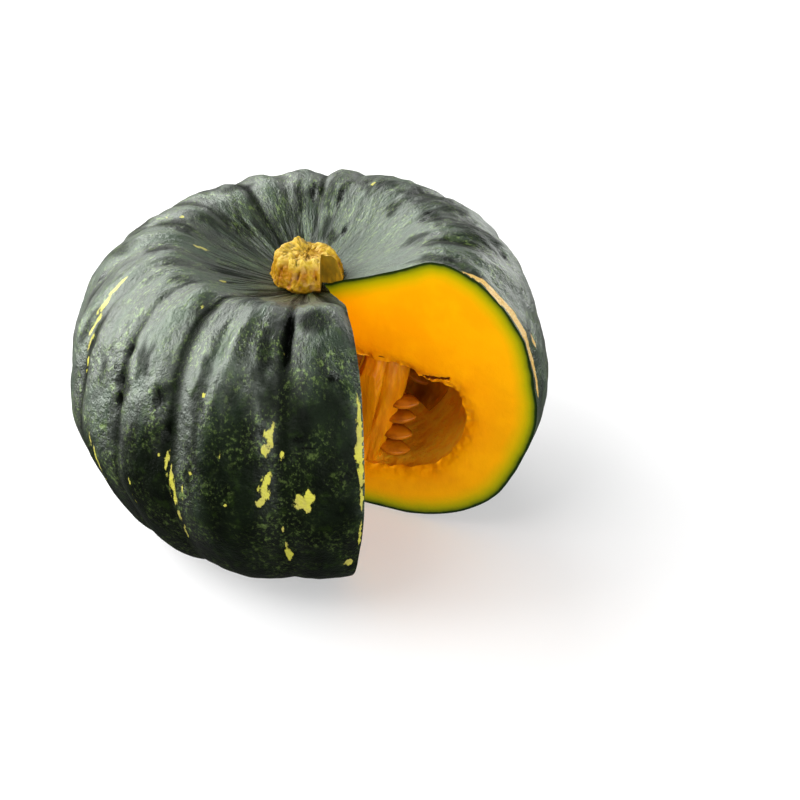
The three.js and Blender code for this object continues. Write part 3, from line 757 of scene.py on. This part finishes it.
def flesh_material():
    """The cut flesh: a dark line of rind, a lime band, then moist yellow-orange, deeper by the seeds."""
    material, shader = new_material("squash_flesh")
    place = place_of(shader)
    cloud = place.noise(60, 3, 0.55)
    grain = place.noise(900, 3, 0.6)
    strings = place.noise(260, 4, 0.6, (1, 1, 0.5), 2.6)
    wander = (place.noise(130, 3, 0.6) - 0.5) * 1.1
    depth = (field_of(shader, "depth") + wander).at_least(0.0) / FLESH_RAMP_LENGTH
    tint = depth.ramp(FLESH_FROM_RIND)
    by_seeds = field_of(shader, "to_hollow").ease(0.0, FLESH_BY_SEEDS_WIDTH, 1.0, 0.0)
    deeper = strings.ease(0.35, 0.65).blend(*FLESH_BY_SEEDS)
    tint = (by_seeds * 0.5).blend(tint, deeper)
    cloudy = cloud.ease(0.35, 0.65, 0.0, 0.6) * depth.ease(0.25, 0.5)
    tint = cloudy.blend(tint, FLESH_CLOUD)
    frayed = place.noise(420, 3, 0.6, (1, 1, 0.6)) - 0.5
    # Painted shade: the cracks are darkened to brown.
    crack = (field_of(shader, "scar") + frayed).ease(0.0, 0.5)
    relief = grain * 0.4 + cloud + strings * by_seeds * 1.5
    set_inputs(shader, {
        "Base Color": crack.blend(tint, CRACK_SHADE_BROWN),
        "Roughness": 0.42,
        "Specular IOR Level": 0.12,
        "Normal": relief.bump(0.0006, 0.5),
    })
    return material


def hollow_material():
    """The scooped wall of the seed hollow: stringy and moist, with deeper orange patches."""
    material, shader = new_material("squash_hollow")
    place = place_of(shader)
    strings = place.noise(220, 4, 0.65, (1, 1, 0.35))
    patches = place.noise(45, 2, 0.5)
    tint = strings.ease(0.38, 0.62).blend(*HOLLOW_STRINGS)
    set_inputs(shader, {
        "Base Color": patches.ease(0.45, 0.7, 0.0, 0.5).blend(tint, HOLLOW_PATCH),
        "Subsurface Weight": 0.15,
        "Subsurface Radius": (1, 0.5, 0.1),
        "Subsurface Scale": 0.002,
        "Specular IOR Level": 0.25,
        "Roughness": 0.5,
        "Normal": strings.bump(0.0015, 0.8),
    })
    return material


skin, skin_fields, skin_map, skin_first, skin_last = skin_surface()
hollow, hollow_first, hollow_last = hollow_surface()
hollow_fields = {
    "depth": np.full(hollow.shape[:2], FAR_FROM_RIND),
    "to_hollow": np.zeros(hollow.shape[:2]),
}

# Each surface has its points, its fields, its material's number and whether its faces are turned over.
surfaces = [(skin, skin_fields, 0, False), (hollow, hollow_fields, 2, True)]
skin_open = slice(skin_first, skin_last + 1)
hollow_open = slice(hollow_first, hollow_last + 1)
for column, stroke, turn, cracks, flip in ((0, CUT_RIGHT, 1, CRACKS, True), (-1, CUT_LEFT, -1, [], False)):
    inwards = np.array([-math.sin(math.radians(stroke)), math.cos(math.radians(stroke)), 0]) * turn
    flesh, under_rind, from_hollow, cracked = flesh_surface(
        skin[skin_open, column], hollow[hollow_open, column], inwards, cracks
    )
    hollow[hollow_open, column] = flesh[:, -1]
    surfaces.append((flesh, {"depth": under_rind, "to_hollow": from_hollow, "scar": cracked}, 1, flip))

squash_points, squash_faces, squash_kinds = [], [], []
squash_fields = {key: [] for key in UNSET_FIELDS}
start = 0
for points, fields, kind, flip in surfaces:
    rows, columns = points.shape[:2]
    squash_points.append(points.reshape(-1, 3))
    squash_faces.append(grid_faces(rows, columns, start, flip))
    squash_kinds.append(np.full(len(squash_faces[-1]), kind))
    for key, unset in UNSET_FIELDS.items():
        squash_fields[key].append(fields.get(key, np.full((rows, columns), unset)).reshape(-1))
    start += rows * columns
squash_mesh = mesh_from(
    "squash_fine", np.concatenate(squash_points), np.concatenate(squash_faces),
    {key: np.concatenate(values) for key, values in squash_fields.items()}, np.concatenate(squash_kinds),
)

# The skin's map runs round the axis and along the lobes, so that streaks and flecks follow them.
lines_map = squash_mesh.uv_layers.new(name="lines")
corners = np.zeros(len(squash_mesh.loops), int)
squash_mesh.loops.foreach_get("vertex_index", corners)
map_places = np.zeros((start, 2))
map_places[: skin_map.shape[0] * skin_map.shape[1]] = skin_map.reshape(-1, 2)
lines_map.data.foreach_set("uv", map_places[corners].reshape(-1).astype(np.float32))
join_seams(squash_mesh)
squash_materials = [skin_material(), flesh_material(), hollow_material()]
put_in_scene("squash_fine", squash_mesh, squash_materials, "squash", "squash")

# ==================================================================================================
# The stem: one stub of hard ribbed cork, spread where it grows out of the dish and broken off rough on top.
# The same knife took a notch out of its right-hand front.
# ==================================================================================================

STEM_X = -0.1
STEM_Y = 2.0
STEM_OUTLINE = [
    [0, 96.5], [8, 98], [12, 100.5], [14.4, 103], [14, 105.5], [13.2, 108.5], [12.6, 110.5], [11.8, 112.2],
    [9.8, 113.7], [5, 113.5], [0, 113],
]
STEM_FROM = 0.01
STEM_TO = 0.995
STEM_ROWS = 110
STEM_SIDES = 230
STEM_RIBS = 9
STEM_RIB_DEPTH = 1.1
STEM_RIB_WANDER = 0.5
STEM_INSET = 0.1
STEM_LEAST_RADIUS = 0.05

# The broken top: its slope, its peaks as x, y and height, and the heights between which each sets in.
STEM_TOP_SLOPE_X = -0.12
STEM_TOP_SLOPE_Y = -0.12
STEM_SLOPE_HEIGHTS = [104, 113.5]
STEM_PEAKS = [[-3.5, 9, 3.1], [7.5, 7, 2.2], [11, -1, 0.6], [-9, 2, 0.4]]
STEM_PEAK_WIDTH = 3.2
STEM_PEAK_HEIGHTS = [108.5, 113]

# The cork's grain is laid out on a drum of this radius and height, and sets in between two heights. Knobs
# and crumbs are layers of noise, and cracks cut into the knobs.
STEM_GIRTH_RADIUS = 14
STEM_DRUM_HEIGHT = 50
STEM_CORK_HEIGHTS = [101, 104]
CORK_KNOBS = [[0.55, 2.3, 0.7, 21], [0.35, 1.1, 1, 22]]
CORK_CRUMBS = [[0.9, 3.4, 1, 24], [0.55, 1.3, 1, 25]]
CORK_CRACK_SQUEEZE = [1.3, 1.3, 0.5]
CORK_CRACK_SIZE = 2.2
CORK_CRACK_SEED = 23
CORK_CRACK_EDGE = [0.15, 0.6]
CORK_CRACK_DEPTH = 0.7

# The notch: where its two strokes meet, which way the left-hand one goes, and how low and high it reaches.
STEM_CUT_X = 5.3
STEM_CUT_Y = 0.6
STEM_CUT_LEFT = -90
STEM_CUT_FOOT = 90
STEM_CUT_TOP = 130
STEM_CUT_REACH = 60.0

# A face is cut cork when it lies this close to a stroke's plane, in metres, and is this nearly parallel to it.
CUT_FACE_DISTANCE = 1e-5
CUT_FACE_SQUARENESS = 0.999

# The cork's colour by how high it stands. Its dark low end is painted shade in the cracks.
CORK_SHADED_BY_HEIGHT = [
    (0.0, (80, 52, 6)), (0.2, (134, 86, 5)), (0.42, (170, 122, 7)), (0.62, (186, 138, 10)),
    (0.85, (200, 156, 26)), (1.0, (226, 194, 92)),
]
CORK_ORANGE = (178, 108, 6)
CORK_PINK = (212, 166, 112)
CORK_FOOT = (214, 184, 132)
CORK_TOP = (224, 206, 84)
CUT_CORK_GOLDS = [(142, 106, 6), (172, 132, 14)]
CUT_CORK_BROWN = (112, 90, 6)

# The heights in metres between which the foot's and the top's colours set in.
CORK_FOOT_HEIGHTS = [0.1035, 0.1010]
CORK_TOP_HEIGHTS = [0.1100, 0.1135]


def stem_surface():
    """The stem's skin in mm, all round and open at its ends, with how high the cork stands at each point."""
    along = np.linspace(STEM_FROM, STEM_TO, STEM_ROWS)[:, None]
    on, slope = smooth_outline(STEM_OUTLINE, along[:, 0])
    level = on[:, 1:2]
    angle = np.broadcast_to(np.linspace(0, 2 * np.pi, STEM_SIDES + 1), (STEM_ROWS, STEM_SIDES + 1))
    ridge = np.abs(np.sin(STEM_RIBS * angle / 2 + STEM_RIB_WANDER * np.sin(2 * angle)))
    place = around(np.degrees(angle), np.full(angle.shape, STEM_GIRTH_RADIUS), STEM_DRUM_HEIGHT * along)
    cracks = noise_at(place * CORK_CRACK_SQUEEZE, CORK_CRACK_SIZE, CORK_CRACK_SEED)
    cracks = CORK_CRACK_DEPTH * smooth_step(*CORK_CRACK_EDGE, cracks)
    cork = smooth_step(*STEM_CORK_HEIGHTS, level) * (noise_layers(place, CORK_KNOBS) - cracks)
    out = cork - STEM_RIB_DEPTH * (1 - ridge) * np.sin(np.pi * along) - STEM_INSET
    radius = np.maximum(STEM_LEAST_RADIUS, on[:, 0:1] + out * slope[:, 1:2])
    x = STEM_X + radius * np.cos(angle)
    y = STEM_Y + radius * np.sin(angle)
    sloped = (STEM_TOP_SLOPE_X * x + STEM_TOP_SLOPE_Y * y) * smooth_step(*STEM_SLOPE_HEIGHTS, level)
    z = level - out * slope[:, 0:1] + sloped
    near_top = smooth_step(*STEM_PEAK_HEIGHTS, level)
    for peak_x, peak_y, peak in STEM_PEAKS:
        z = z + peak * np.exp(-(((x - peak_x) ** 2 + (y - peak_y) ** 2) / STEM_PEAK_WIDTH**2)) * near_top
    crumbs = noise_layers(np.stack([x, y, np.zeros_like(x)], -1), CORK_CRUMBS) * near_top
    return np.stack([x, y, z + crumbs], -1), cork + crumbs


def stem_notch():
    """An upright three-sided prism between the two strokes that notched the stem."""
    mesh = bpy.data.meshes.new("notch")
    points = []
    for z in (STEM_CUT_FOOT, STEM_CUT_TOP):
        points.append((STEM_CUT_X, STEM_CUT_Y, z))
        for stroke in (STEM_CUT_LEFT, CUT_RIGHT):
            points.append((
                STEM_CUT_X + STEM_CUT_REACH * math.cos(math.radians(stroke)),
                STEM_CUT_Y + STEM_CUT_REACH * math.sin(math.radians(stroke)), z,
            ))
    faces = [(2, 1, 0), (3, 4, 5), (0, 1, 4, 3), (1, 2, 5, 4), (2, 0, 3, 5)]
    mesh.from_pydata([tuple(MILLIMETRE * c for c in p) for p in points], [], faces)
    return mesh


def carve(mesh, tool):
    """The mesh with the tool's shape taken out of it."""
    holders = []
    for part in (mesh, tool):
        holders.append(bpy.data.objects.new("holder", part))
        bpy.context.scene.collection.objects.link(holders[-1])
    body, cutter = holders
    step = body.modifiers.new("carve", "BOOLEAN")
    step.operation = "DIFFERENCE"
    step.solver = "EXACT"
    step.object = cutter
    depsgraph = bpy.context.evaluated_depsgraph_get()
    carved = bpy.data.meshes.new_from_object(body.evaluated_get(depsgraph))
    for holder in holders:
        bpy.data.objects.remove(holder)
    return carved


def close_holes(mesh):
    """Closes the open ends of a mesh."""
    work = bmesh.new()
    work.from_mesh(mesh)
    bmesh.ops.holes_fill(work, edges=[edge for edge in work.edges if edge.is_boundary], sides=0)
    bmesh.ops.recalc_face_normals(work, faces=work.faces)
    work.to_mesh(mesh)
    work.free()


def mark_cut_faces(mesh):
    """Gives the second material to the flat faces that the two strokes left."""
    corner = Vector((STEM_CUT_X, STEM_CUT_Y, 0)) * MILLIMETRE
    for face in mesh.polygons:
        for stroke in (STEM_CUT_LEFT, CUT_RIGHT):
            across = Vector((math.sin(math.radians(stroke)), -math.cos(math.radians(stroke)), 0))
            off = (face.center - corner).dot(across)
            if abs(off) < CUT_FACE_DISTANCE and abs(face.normal.dot(across)) > CUT_FACE_SQUARENESS:
                face.material_index = 1


def cork_material():
    """Cork: cream on its knobs, yellow below them and orange-brown in its cracks, as painted shade."""
    material, shader = new_material("stem_cork")
    place = place_of(shader)
    wander = place.noise(420, 4, 0.65, (1, 1, 0.6)) - 0.5
    fine = place.noise(900, 3, 0.6, (1, 1, 0.5))
    height = field_of(shader, "cork") + wander * 1.6
    tint = height.ease(-1.3, 1.0).ramp(CORK_SHADED_BY_HEIGHT)
    orange = place.noise(210, 3, 0.5, (1, 1, 0.6), 8.1).ease(0.5, 0.62, 0.0, 0.6)
    pink = place.noise(260, 3, 0.5, (1, 1, 1), 7.7).ease(0.54, 0.64, 0.0, 0.3)
    foot = place.part("Z").ease(*CORK_FOOT_HEIGHTS, 0.0, 0.45)
    top = place.part("Z").ease(*CORK_TOP_HEIGHTS, 0.0, 0.35)
    for share, over in ((orange, CORK_ORANGE), (pink, CORK_PINK), (foot, CORK_FOOT), (top, CORK_TOP)):
        tint = share.blend(tint, over)
    set_inputs(shader, {
        "Base Color": tint,
        "Subsurface Weight": 0.1,
        "Subsurface Radius": (1, 0.6, 0.25),
        "Subsurface Scale": 0.0015,
        "Specular IOR Level": 0.25,
        "Roughness": 0.46,
        "Normal": (wander * 1.4 + fine * 0.4).bump(0.0007, 0.6),
    })
    return material


def cut_cork_material():
    """The stem's cut side: smooth, fibrous and olive-gold with brown patches."""
    material, shader = new_material("stem_cut")
    place = place_of(shader)
    fibres = place.noise(500, 4, 0.6, (1, 1, 0.12))
    patches = place.noise(180, 3, 0.6, (1, 1, 0.7), 2.2)
    tint = fibres.ease(0.35, 0.65).blend(*CUT_CORK_GOLDS)
    set_inputs(shader, {
        "Base Color": patches.ease(0.42, 0.60, 0.0, 0.8).blend(tint, CUT_CORK_BROWN),
        "Specular IOR Level": 0.35,
        "Roughness": 0.6,
        "Normal": fibres.bump(0.0006, 0.6),
    })
    return material


stem_points, stem_cork = stem_surface()
stem_faces = grid_faces(*stem_cork.shape, 0)
stem_fields = {"cork": stem_cork.reshape(-1)}
stem_mesh = mesh_from(
    "stem_fine", stem_points.reshape(-1, 3), stem_faces, stem_fields, np.zeros(len(stem_faces))
)
join_seams(stem_mesh)
close_holes(stem_mesh)
stem_mesh = carve(stem_mesh, stem_notch())
mark_cut_faces(stem_mesh)
stem_mesh.set_sharp_from_angle(angle=math.radians(SHARP_ANGLE))
put_in_scene("stem_fine", stem_mesh, [cork_material(), cut_cork_material()], "stem", "stem")

# ==================================================================================================
# The loose strand of pulp: two moist stringy cords grown together, pulled off the wall behind the right-hand
# cut and sliced flat by the knife where they reached it. Four seeds hang stacked on its outer side.
# ==================================================================================================

# The middle line of each cord from its foot up, as [x, y, z] places.
STRAND_LINES = [
    [[23, 2, 19.5], [25, 1, 30], [28, 0, 42], [31, 0, 54], [33, 2, 63], [34, 4, 68]],
    [[17.5, -1, 19.5], [18.5, -3, 31], [20.5, -4, 43], [23, -3, 55], [26.5, 0, 63], [28, 2, 69]],
]
STRAND_THICKNESS = [13, 11]
STRAND_NARROWEST = 0.8
STRAND_WIDENING = 0.3
STRAND_ROWS = 120
STRAND_SIDES = 72
STRAND_FROM_CUT = 0.5
CORD_GIRTH_RADIUS = 10
CORD_STRINGS = [[0.25, 1.8, 0.12, 0], [0.9, 6, 0.3, 1], [0.1, 0.8, 0.5, 2]]
CORD_SEEDS = [31, 34]

# The strand's seeds: their heights, where the lowest is rooted, how far the next ones move over per mm of
# height, and how much they turn and tilt. The cords of the solid part take the first draws.
STRAND_SEED_HEIGHTS = [26, 33, 40, 47]
STRAND_SEED_X = 25.2
STRAND_SEED_LEAN = 0.2
STRAND_SEED_TURN = 0.3
STRAND_RANDOM_SEED = 23
STRAND_DRAWS = 260
SEED_LENGTH = 15.0
SEED_WIDTH = 8.5
SEED_THICKNESS = 3.4
SEED_FROM = 0.004
SEED_TO = 0.996
SEED_ROWS = 22
SEED_SIDES = 26

# The groove inside a seed's rim: depth, where it runs between the middle and the edge, and width.
SEED_GROOVE = [0.22, 0.74, 0.1]

# Painted shade: a brown patch on the pulp behind the strand, where the hollow lies deepest in shadow.
CAVITY_SHADE_AT = [43.5, 26, 34]
CAVITY_SHADE_SIZE = 9
CAVITY_SHADE_STRENGTH = 0.9

PULP_STRINGS = [(184, 110, 1), (208, 136, 2)]
PULP_PATCH = (222, 124, 4)
PULP_SHADE_BROWN = (96, 42, 2)
# The seeds' tans are darkened as painted shade, for the seeds deep in the hollow.
SEED_SHADED_TANS = [(156, 84, 2), (186, 108, 4)]


def random_numbers(seed):
    """The same endless run of numbers from 0 to 1 that spreads the seeds in the solid part."""
    state = seed
    while True:
        state = state * 16807 % 2147483647
        yield state / 2147483647


def unit(vector):
    """The vector's direction, one long."""
    vector = np.asarray(vector, float)
    return vector / np.linalg.norm(vector)


def seed_surface(root, along, up):
    """A flat seed that lies along one direction from its pointed root, with its flat side facing another."""
    side = unit(np.cross(up, along))
    flat = unit(np.cross(along, side))
    share = np.linspace(SEED_FROM, SEED_TO, SEED_ROWS)[:, None]
    turn = np.linspace(0, 2 * np.pi, SEED_SIDES + 1)[None, :]
    size = np.sin(np.pi * share**1.1) ** 0.75
    depth, groove_at, groove_width = SEED_GROOVE
    groove = 1 - depth * np.exp(-(((np.abs(np.cos(turn)) - groove_at) / groove_width) ** 2))
    wide = np.cos(turn) * size * SEED_WIDTH / 2
    thick = np.sign(np.sin(turn)) * np.abs(np.sin(turn)) ** 0.75 * size**0.6 * groove * SEED_THICKNESS / 2
    far = share * SEED_LENGTH
    return root + far[..., None] * along + wide[..., None] * side + thick[..., None] * flat


def cord_surface(line, thickness, seed):
    """A stringy cord along a line, thinner towards its foot."""
    share = np.linspace(0, 1, STRAND_ROWS)
    centre, direction = smooth_outline(line, share)
    first = np.cross(direction, [0, 1, 0])
    first /= np.linalg.norm(first, axis=1, keepdims=True)
    second = np.cross(direction, first)
    turn = np.linspace(0, 2 * np.pi, STRAND_SIDES + 1)
    degrees = np.broadcast_to(np.degrees(turn), (STRAND_ROWS, STRAND_SIDES + 1))
    place = around(degrees, np.full(degrees.shape, CORD_GIRTH_RADIUS), centre[:, 2:3])
    widening = STRAND_NARROWEST + STRAND_WIDENING * share[:, None]
    radius = thickness / 2 * widening + noise_layers(place, CORD_STRINGS, seed)
    across = first[:, None] * np.cos(turn)[:, None] + second[:, None] * np.sin(turn)[:, None]
    return centre[:, None] + radius[..., None] * across


def behind_right_cut(points, gap):
    """The points, with those in front of the right-hand cut pressed back flat behind it."""
    right = math.radians(CUT_RIGHT)
    normal = np.array([math.sin(right), -math.cos(right), 0])
    off = (points - [CUT_MEETS_X, 0, CUT_MEETS_Z]) @ normal + gap
    return points - np.maximum(off, 0)[..., None] * normal


def pulp_material():
    """Wet stringy pulp, ochre to deep orange, with painted shade in brown deep in the hollow."""
    material, shader = new_material("pulp")
    place = place_of(shader)
    strings = place.noise(330, 4, 0.62, (1, 1, 0.16))
    patches = place.noise(70, 3, 0.55, (1, 1, 0.6), 3.3)
    tint = strings.ease(0.36, 0.64).blend(*PULP_STRINGS)
    tint = patches.ease(0.42, 0.66, 0.0, 0.5).blend(tint, PULP_PATCH)
    set_inputs(shader, {
        "Base Color": field_of(shader, "cavity_shade").blend(tint, PULP_SHADE_BROWN),
        "Subsurface Weight": 0.2,
        "Subsurface Radius": (1, 0.4, 0.1),
        "Subsurface Scale": 0.003,
        "Specular IOR Level": 0.15,
        "Roughness": patches.ease(0.3, 0.7, 0.35, 0.55),
        "Normal": strings.bump(0.0009, 0.6),
    })
    return material


def seed_material():
    """A seed's skin: smooth tan under a film of orange pulp, darkened as painted shade."""
    material, shader = new_material("seed_skin")
    place = place_of(shader)
    stains = place.noise(150, 3, 0.55)
    set_inputs(shader, {
        "Base Color": stains.ease(0.38, 0.62).blend(*SEED_SHADED_TANS),
        "Subsurface Weight": 0.15,
        "Subsurface Radius": (1, 0.6, 0.3),
        "Subsurface Scale": 0.001,
        "Specular IOR Level": 0.2,
        "Roughness": 0.45,
    })
    return material


def add_pulp_piece(name, bodies, seeds, replaced):
    """One closed piece of pulp from its bodies and its seeds, each a grid of points in mm."""
    points, faces, kinds = [], [], []
    start = 0
    for kind, grids in ((0, bodies), (1, seeds)):
        for grid in grids:
            points.append(grid.reshape(-1, 3))
            faces.append(grid_faces(*grid.shape[:2], start))
            kinds.append(np.full(len(faces[-1]), kind))
            start += grid.shape[0] * grid.shape[1]
    points = np.concatenate(points)
    # Painted shade: the pulp darkens round one point deep in the hollow.
    cavity_shade = CAVITY_SHADE_STRENGTH * np.exp(-(((points - CAVITY_SHADE_AT) / CAVITY_SHADE_SIZE) ** 2).sum(-1))
    mesh = mesh_from(name, points, np.concatenate(faces), {"cavity_shade": cavity_shade}, np.concatenate(kinds))
    join_seams(mesh)
    close_holes(mesh)
    put_in_scene(name, mesh, [pulp_paint, seed_paint], "pulp", replaced)


pulp_paint = pulp_material()
seed_paint = seed_material()
cords = [
    behind_right_cut(cord_surface(line, thickness, seed), STRAND_FROM_CUT)
    for line, thickness, seed in zip(STRAND_LINES, STRAND_THICKNESS, CORD_SEEDS)
]
draw = random_numbers(STRAND_RANDOM_SEED)
for _ in range(STRAND_DRAWS):
    next(draw)
strand_seeds = []
for height in STRAND_SEED_HEIGHTS:
    root_x = STRAND_SEED_X + STRAND_SEED_LEAN * (height - STRAND_SEED_HEIGHTS[0])
    root = np.array([root_x, 0, height])
    aim = unit([1, -0.1 - STRAND_SEED_TURN * next(draw), STRAND_SEED_TURN * (next(draw) - 0.5)])
    up = unit([STRAND_SEED_TURN * (next(draw) - 0.5), -0.2, 1])
    strand_seeds.append(behind_right_cut(seed_surface(root, aim, up), STRAND_FROM_CUT))
add_pulp_piece("pulp_strand_fine", cords, strand_seeds, "pulp_strand")

# ==================================================================================================
# The bands of pulp that line the hollow between the cuts: each one grew on the wall, is thickest along its
# middle and holds eight flat seeds by their pointed ends.
# ==================================================================================================

# Each band: the angle of its middle, how many degrees it reaches each way, and its thickness.
BANDS = [[42, 22, 9], [93, 24, 10], [146, 24, 9], [200, 24, 10], [252, 23, 8]]
BAND_FROM = 0.35
BAND_TO = 0.65
BAND_ROWS = 9
BAND_COLUMNS = 9
BAND_FINE_ROWS = 60
BAND_FINE_COLUMNS = 64
BAND_EDGE = 1.6
BAND_ENDS = 0.12
BAND_END_WIDTH = 0.82
BAND_CROWN_LOW = 0.75
BAND_CROWN_HIGH = 1.25
BAND_RANDOM_SEED = 41
BAND_DRUM_HEIGHT = 180
BAND_STRINGS = [[0.7, 2.4, 0.25, 0], [0.8, 5, 1, 1]]

# Pulp stays this far from the wall.
WALL_GAP = 0.4

# The seeds of a band stand in columns, from one share of its height to another, turned and tilted a little.
SEEDS_PER_BAND = 8
SEED_COLUMNS = 3
SEED_COLUMN_APART = 0.5
SEEDS_FROM = 0.22
SEEDS_TO = 0.8
SEED_ROOT_INSET = WALL_GAP + 1.2
SEED_AIM_INSET = WALL_GAP + 12
SEED_SHIFT_DEGREES = 4
SEED_TURN_DEGREES = 30
SEED_TILT = 0.5


def between(low, high, share):
    """The value at a share of the way from one value to another."""
    return low + (high - low) * share


def hollow_places(degrees, along, inset):
    """Places on the hollow's wall, moved inwards by "inset"."""
    on, slope = smooth_outline(HOLLOW_OUTLINE, along)
    rise = np.sin(np.pi * along)[:, None]
    inset = inset + HOLLOW_RIPPLE * np.sin(np.radians(HOLLOW_RIPPLES * degrees)) * rise
    radius = np.maximum(0, on[:, 0:1] - inset * slope[:, 1:2])
    return around(degrees, radius, on[:, 1:2] + inset * slope[:, 0:1])


def hollow_place(degrees, along, inset):
    """A single place on the hollow's wall."""
    return hollow_places(np.array([[degrees]]), np.array([along]), inset)[0, 0]


def read_grid(values, row, column):
    """The value between the crossings of a grid, smoothly blended."""
    rows, columns = values.shape
    low_row = np.clip(row.astype(int), 0, rows - 2)
    low_column = np.clip(column.astype(int), 0, columns - 2)
    up = smooth_step(0, 1, row - low_row)
    over = smooth_step(0, 1, column - low_column)
    low = values[low_row, low_column] * (1 - over) + values[low_row, low_column + 1] * over
    high = values[low_row + 1, low_column] * (1 - over) + values[low_row + 1, low_column + 1] * over
    return low * (1 - up) + high * up


def band_surface(middle, half, thickness, crowns, seed):
    """One band's skin, open at its ends: its stringy inner side, and its back, which lies along the wall."""
    share = np.linspace(0, 1, BAND_FINE_ROWS)[:, None]
    along = between(BAND_FROM, BAND_TO, share)
    tall = np.sin(np.pi * between(BAND_ENDS, 1 - BAND_ENDS, share))
    across = np.broadcast_to(np.linspace(1, -1, BAND_FINE_COLUMNS), (BAND_FINE_ROWS, BAND_FINE_COLUMNS))
    degrees = middle + half * between(BAND_END_WIDTH, 1, tall) * across
    crown = read_grid(crowns, share * BAND_ROWS + 0 * across, (across + 1) / 2 * BAND_COLUMNS)
    crown = (1 - across**2) * tall * between(BAND_CROWN_LOW, BAND_CROWN_HIGH, crown)
    place = around(degrees, np.full(degrees.shape, HOLLOW_GIRTH_RADIUS), along * BAND_DRUM_HEIGHT)
    inset = WALL_GAP + BAND_EDGE + (thickness - BAND_EDGE) * crown + noise_layers(place, BAND_STRINGS, seed)
    inner = hollow_places(degrees, along[:, 0], np.maximum(WALL_GAP, inset))
    back = hollow_places(degrees[:, ::-1], along[:, 0], WALL_GAP / 2)
    return np.concatenate([inner, back, inner[:, :1]], axis=1)


for i, (middle, half, thickness) in enumerate(BANDS):
    draw = random_numbers(BAND_RANDOM_SEED + i)
    crowns = [[next(draw) for _ in range(BAND_COLUMNS + 1)] for _ in range(BAND_ROWS + 1)]
    band_seeds = []
    for k in range(SEEDS_PER_BAND):
        column = k % SEED_COLUMNS - 1
        degrees = middle + half * SEED_COLUMN_APART * column + SEED_SHIFT_DEGREES * (next(draw) - 0.5)
        share = between(SEEDS_FROM, SEEDS_TO, (k + next(draw)) / SEEDS_PER_BAND)
        along = between(BAND_FROM, BAND_TO, share)
        root = hollow_place(degrees, along, SEED_ROOT_INSET)
        aim_degrees = degrees + SEED_TURN_DEGREES * (next(draw) - 0.5)
        aim = unit(hollow_place(aim_degrees, along, SEED_AIM_INSET) - root)
        up = unit([SEED_TILT * (next(draw) - 0.5), SEED_TILT * (next(draw) - 0.5), 1])
        band_seeds.append(seed_surface(root, aim, up))
    surface = band_surface(middle, half, thickness, np.array(crowns)[:, ::-1], BAND_RANDOM_SEED + 3 * i)
    add_pulp_piece(f"pulp_band_{i + 1}_fine", [surface], band_seeds, f"pulp_band_{i + 1}")

# ==================================================================================================
# The stage: a plain pale floor, soft studio light from large panels, and the camera.
# ==================================================================================================

CAMERA_PLACE = (0.03555, -0.59137, 0.43335)
CAMERA_TILT = 56.82
CAMERA_LENS = 78.95
CAMERA_SENSOR = 36
FLOOR_REACH = 4
FLOOR_GREY = 0.62
FLOOR_GLOW = 0.35

# Light panels stand this far from the squash. Each has its direction round the axis and up in degrees, its
# width and height in metres and its power in watts.
PANEL_DISTANCE = 1.35
PANELS = {
    "window": (170, 20, 1.5, 1.5, 36),
    "top": (216, 55, 0.9, 0.8, 9),
    "back": (116, 33, 1.0, 0.9, 14),
    "side": (50, 6, 1.1, 0.6, 8),
    "front": (306, 8, 1.0, 0.6, 16),
    "low": (262, 22, 1.2, 1.0, 3),
}
PANEL_AIM = (0, 0, 0.06)
SKY_STRENGTH = 0.18


def add_panel(name, turn, rise, width, height, power):
    """A soft light panel in a direction from the squash, facing it."""
    light = bpy.data.lights.new(name, "AREA")
    light.shape = "RECTANGLE"
    light.size = width
    light.size_y = height
    light.energy = power
    panel = bpy.data.objects.new(name, light)
    flat = PANEL_DISTANCE * math.cos(math.radians(rise))
    up = PANEL_DISTANCE * math.sin(math.radians(rise))
    away = Vector((flat * math.cos(math.radians(turn)), flat * math.sin(math.radians(turn)), up))
    panel.location = Vector(PANEL_AIM) + away
    panel.rotation_euler = (-away).to_track_quat("-Z", "Y").to_euler()
    bpy.context.scene.collection.objects.link(panel)


floor_mesh = bpy.data.meshes.new("floor")
floor_corners = [(x * FLOOR_REACH, y * FLOOR_REACH, 0) for x, y in ((-1, -1), (1, -1), (1, 1), (-1, 1))]
floor_mesh.from_pydata(floor_corners, [], [(0, 1, 2, 3)])
floor = bpy.data.objects.new("floor", floor_mesh)
bpy.context.scene.collection.objects.link(floor)
floor_paint, floor_shader = new_material("floor_paint")
set_inputs(floor_shader, {
    "Base Color": (FLOOR_GREY, FLOOR_GREY, FLOOR_GREY, 1),
    "Roughness": 0.9,
    "Emission Color": (1, 1, 1, 1),
    "Emission Strength": FLOOR_GLOW,
})
floor_mesh.materials.append(floor_paint)
floor.visible_glossy = False
floor.visible_diffuse = False

world = bpy.data.worlds.new("studio")
world.use_nodes = True
set_inputs(world.node_tree.nodes["Background"], {"Color": (1, 1, 1, 1), "Strength": SKY_STRENGTH})
bpy.context.scene.world = world
for name, settings in PANELS.items():
    add_panel(name, *settings)
bpy.context.scene.view_settings.view_transform = "Standard"

camera_data = bpy.data.cameras.new("camera")
camera_data.lens = CAMERA_LENS
camera_data.sensor_width = CAMERA_SENSOR
camera = bpy.data.objects.new("camera", camera_data)
camera.location = CAMERA_PLACE
camera.rotation_euler = (math.radians(CAMERA_TILT), 0, 0)
bpy.context.scene.collection.objects.link(camera)
bpy.context.scene.camera = camera
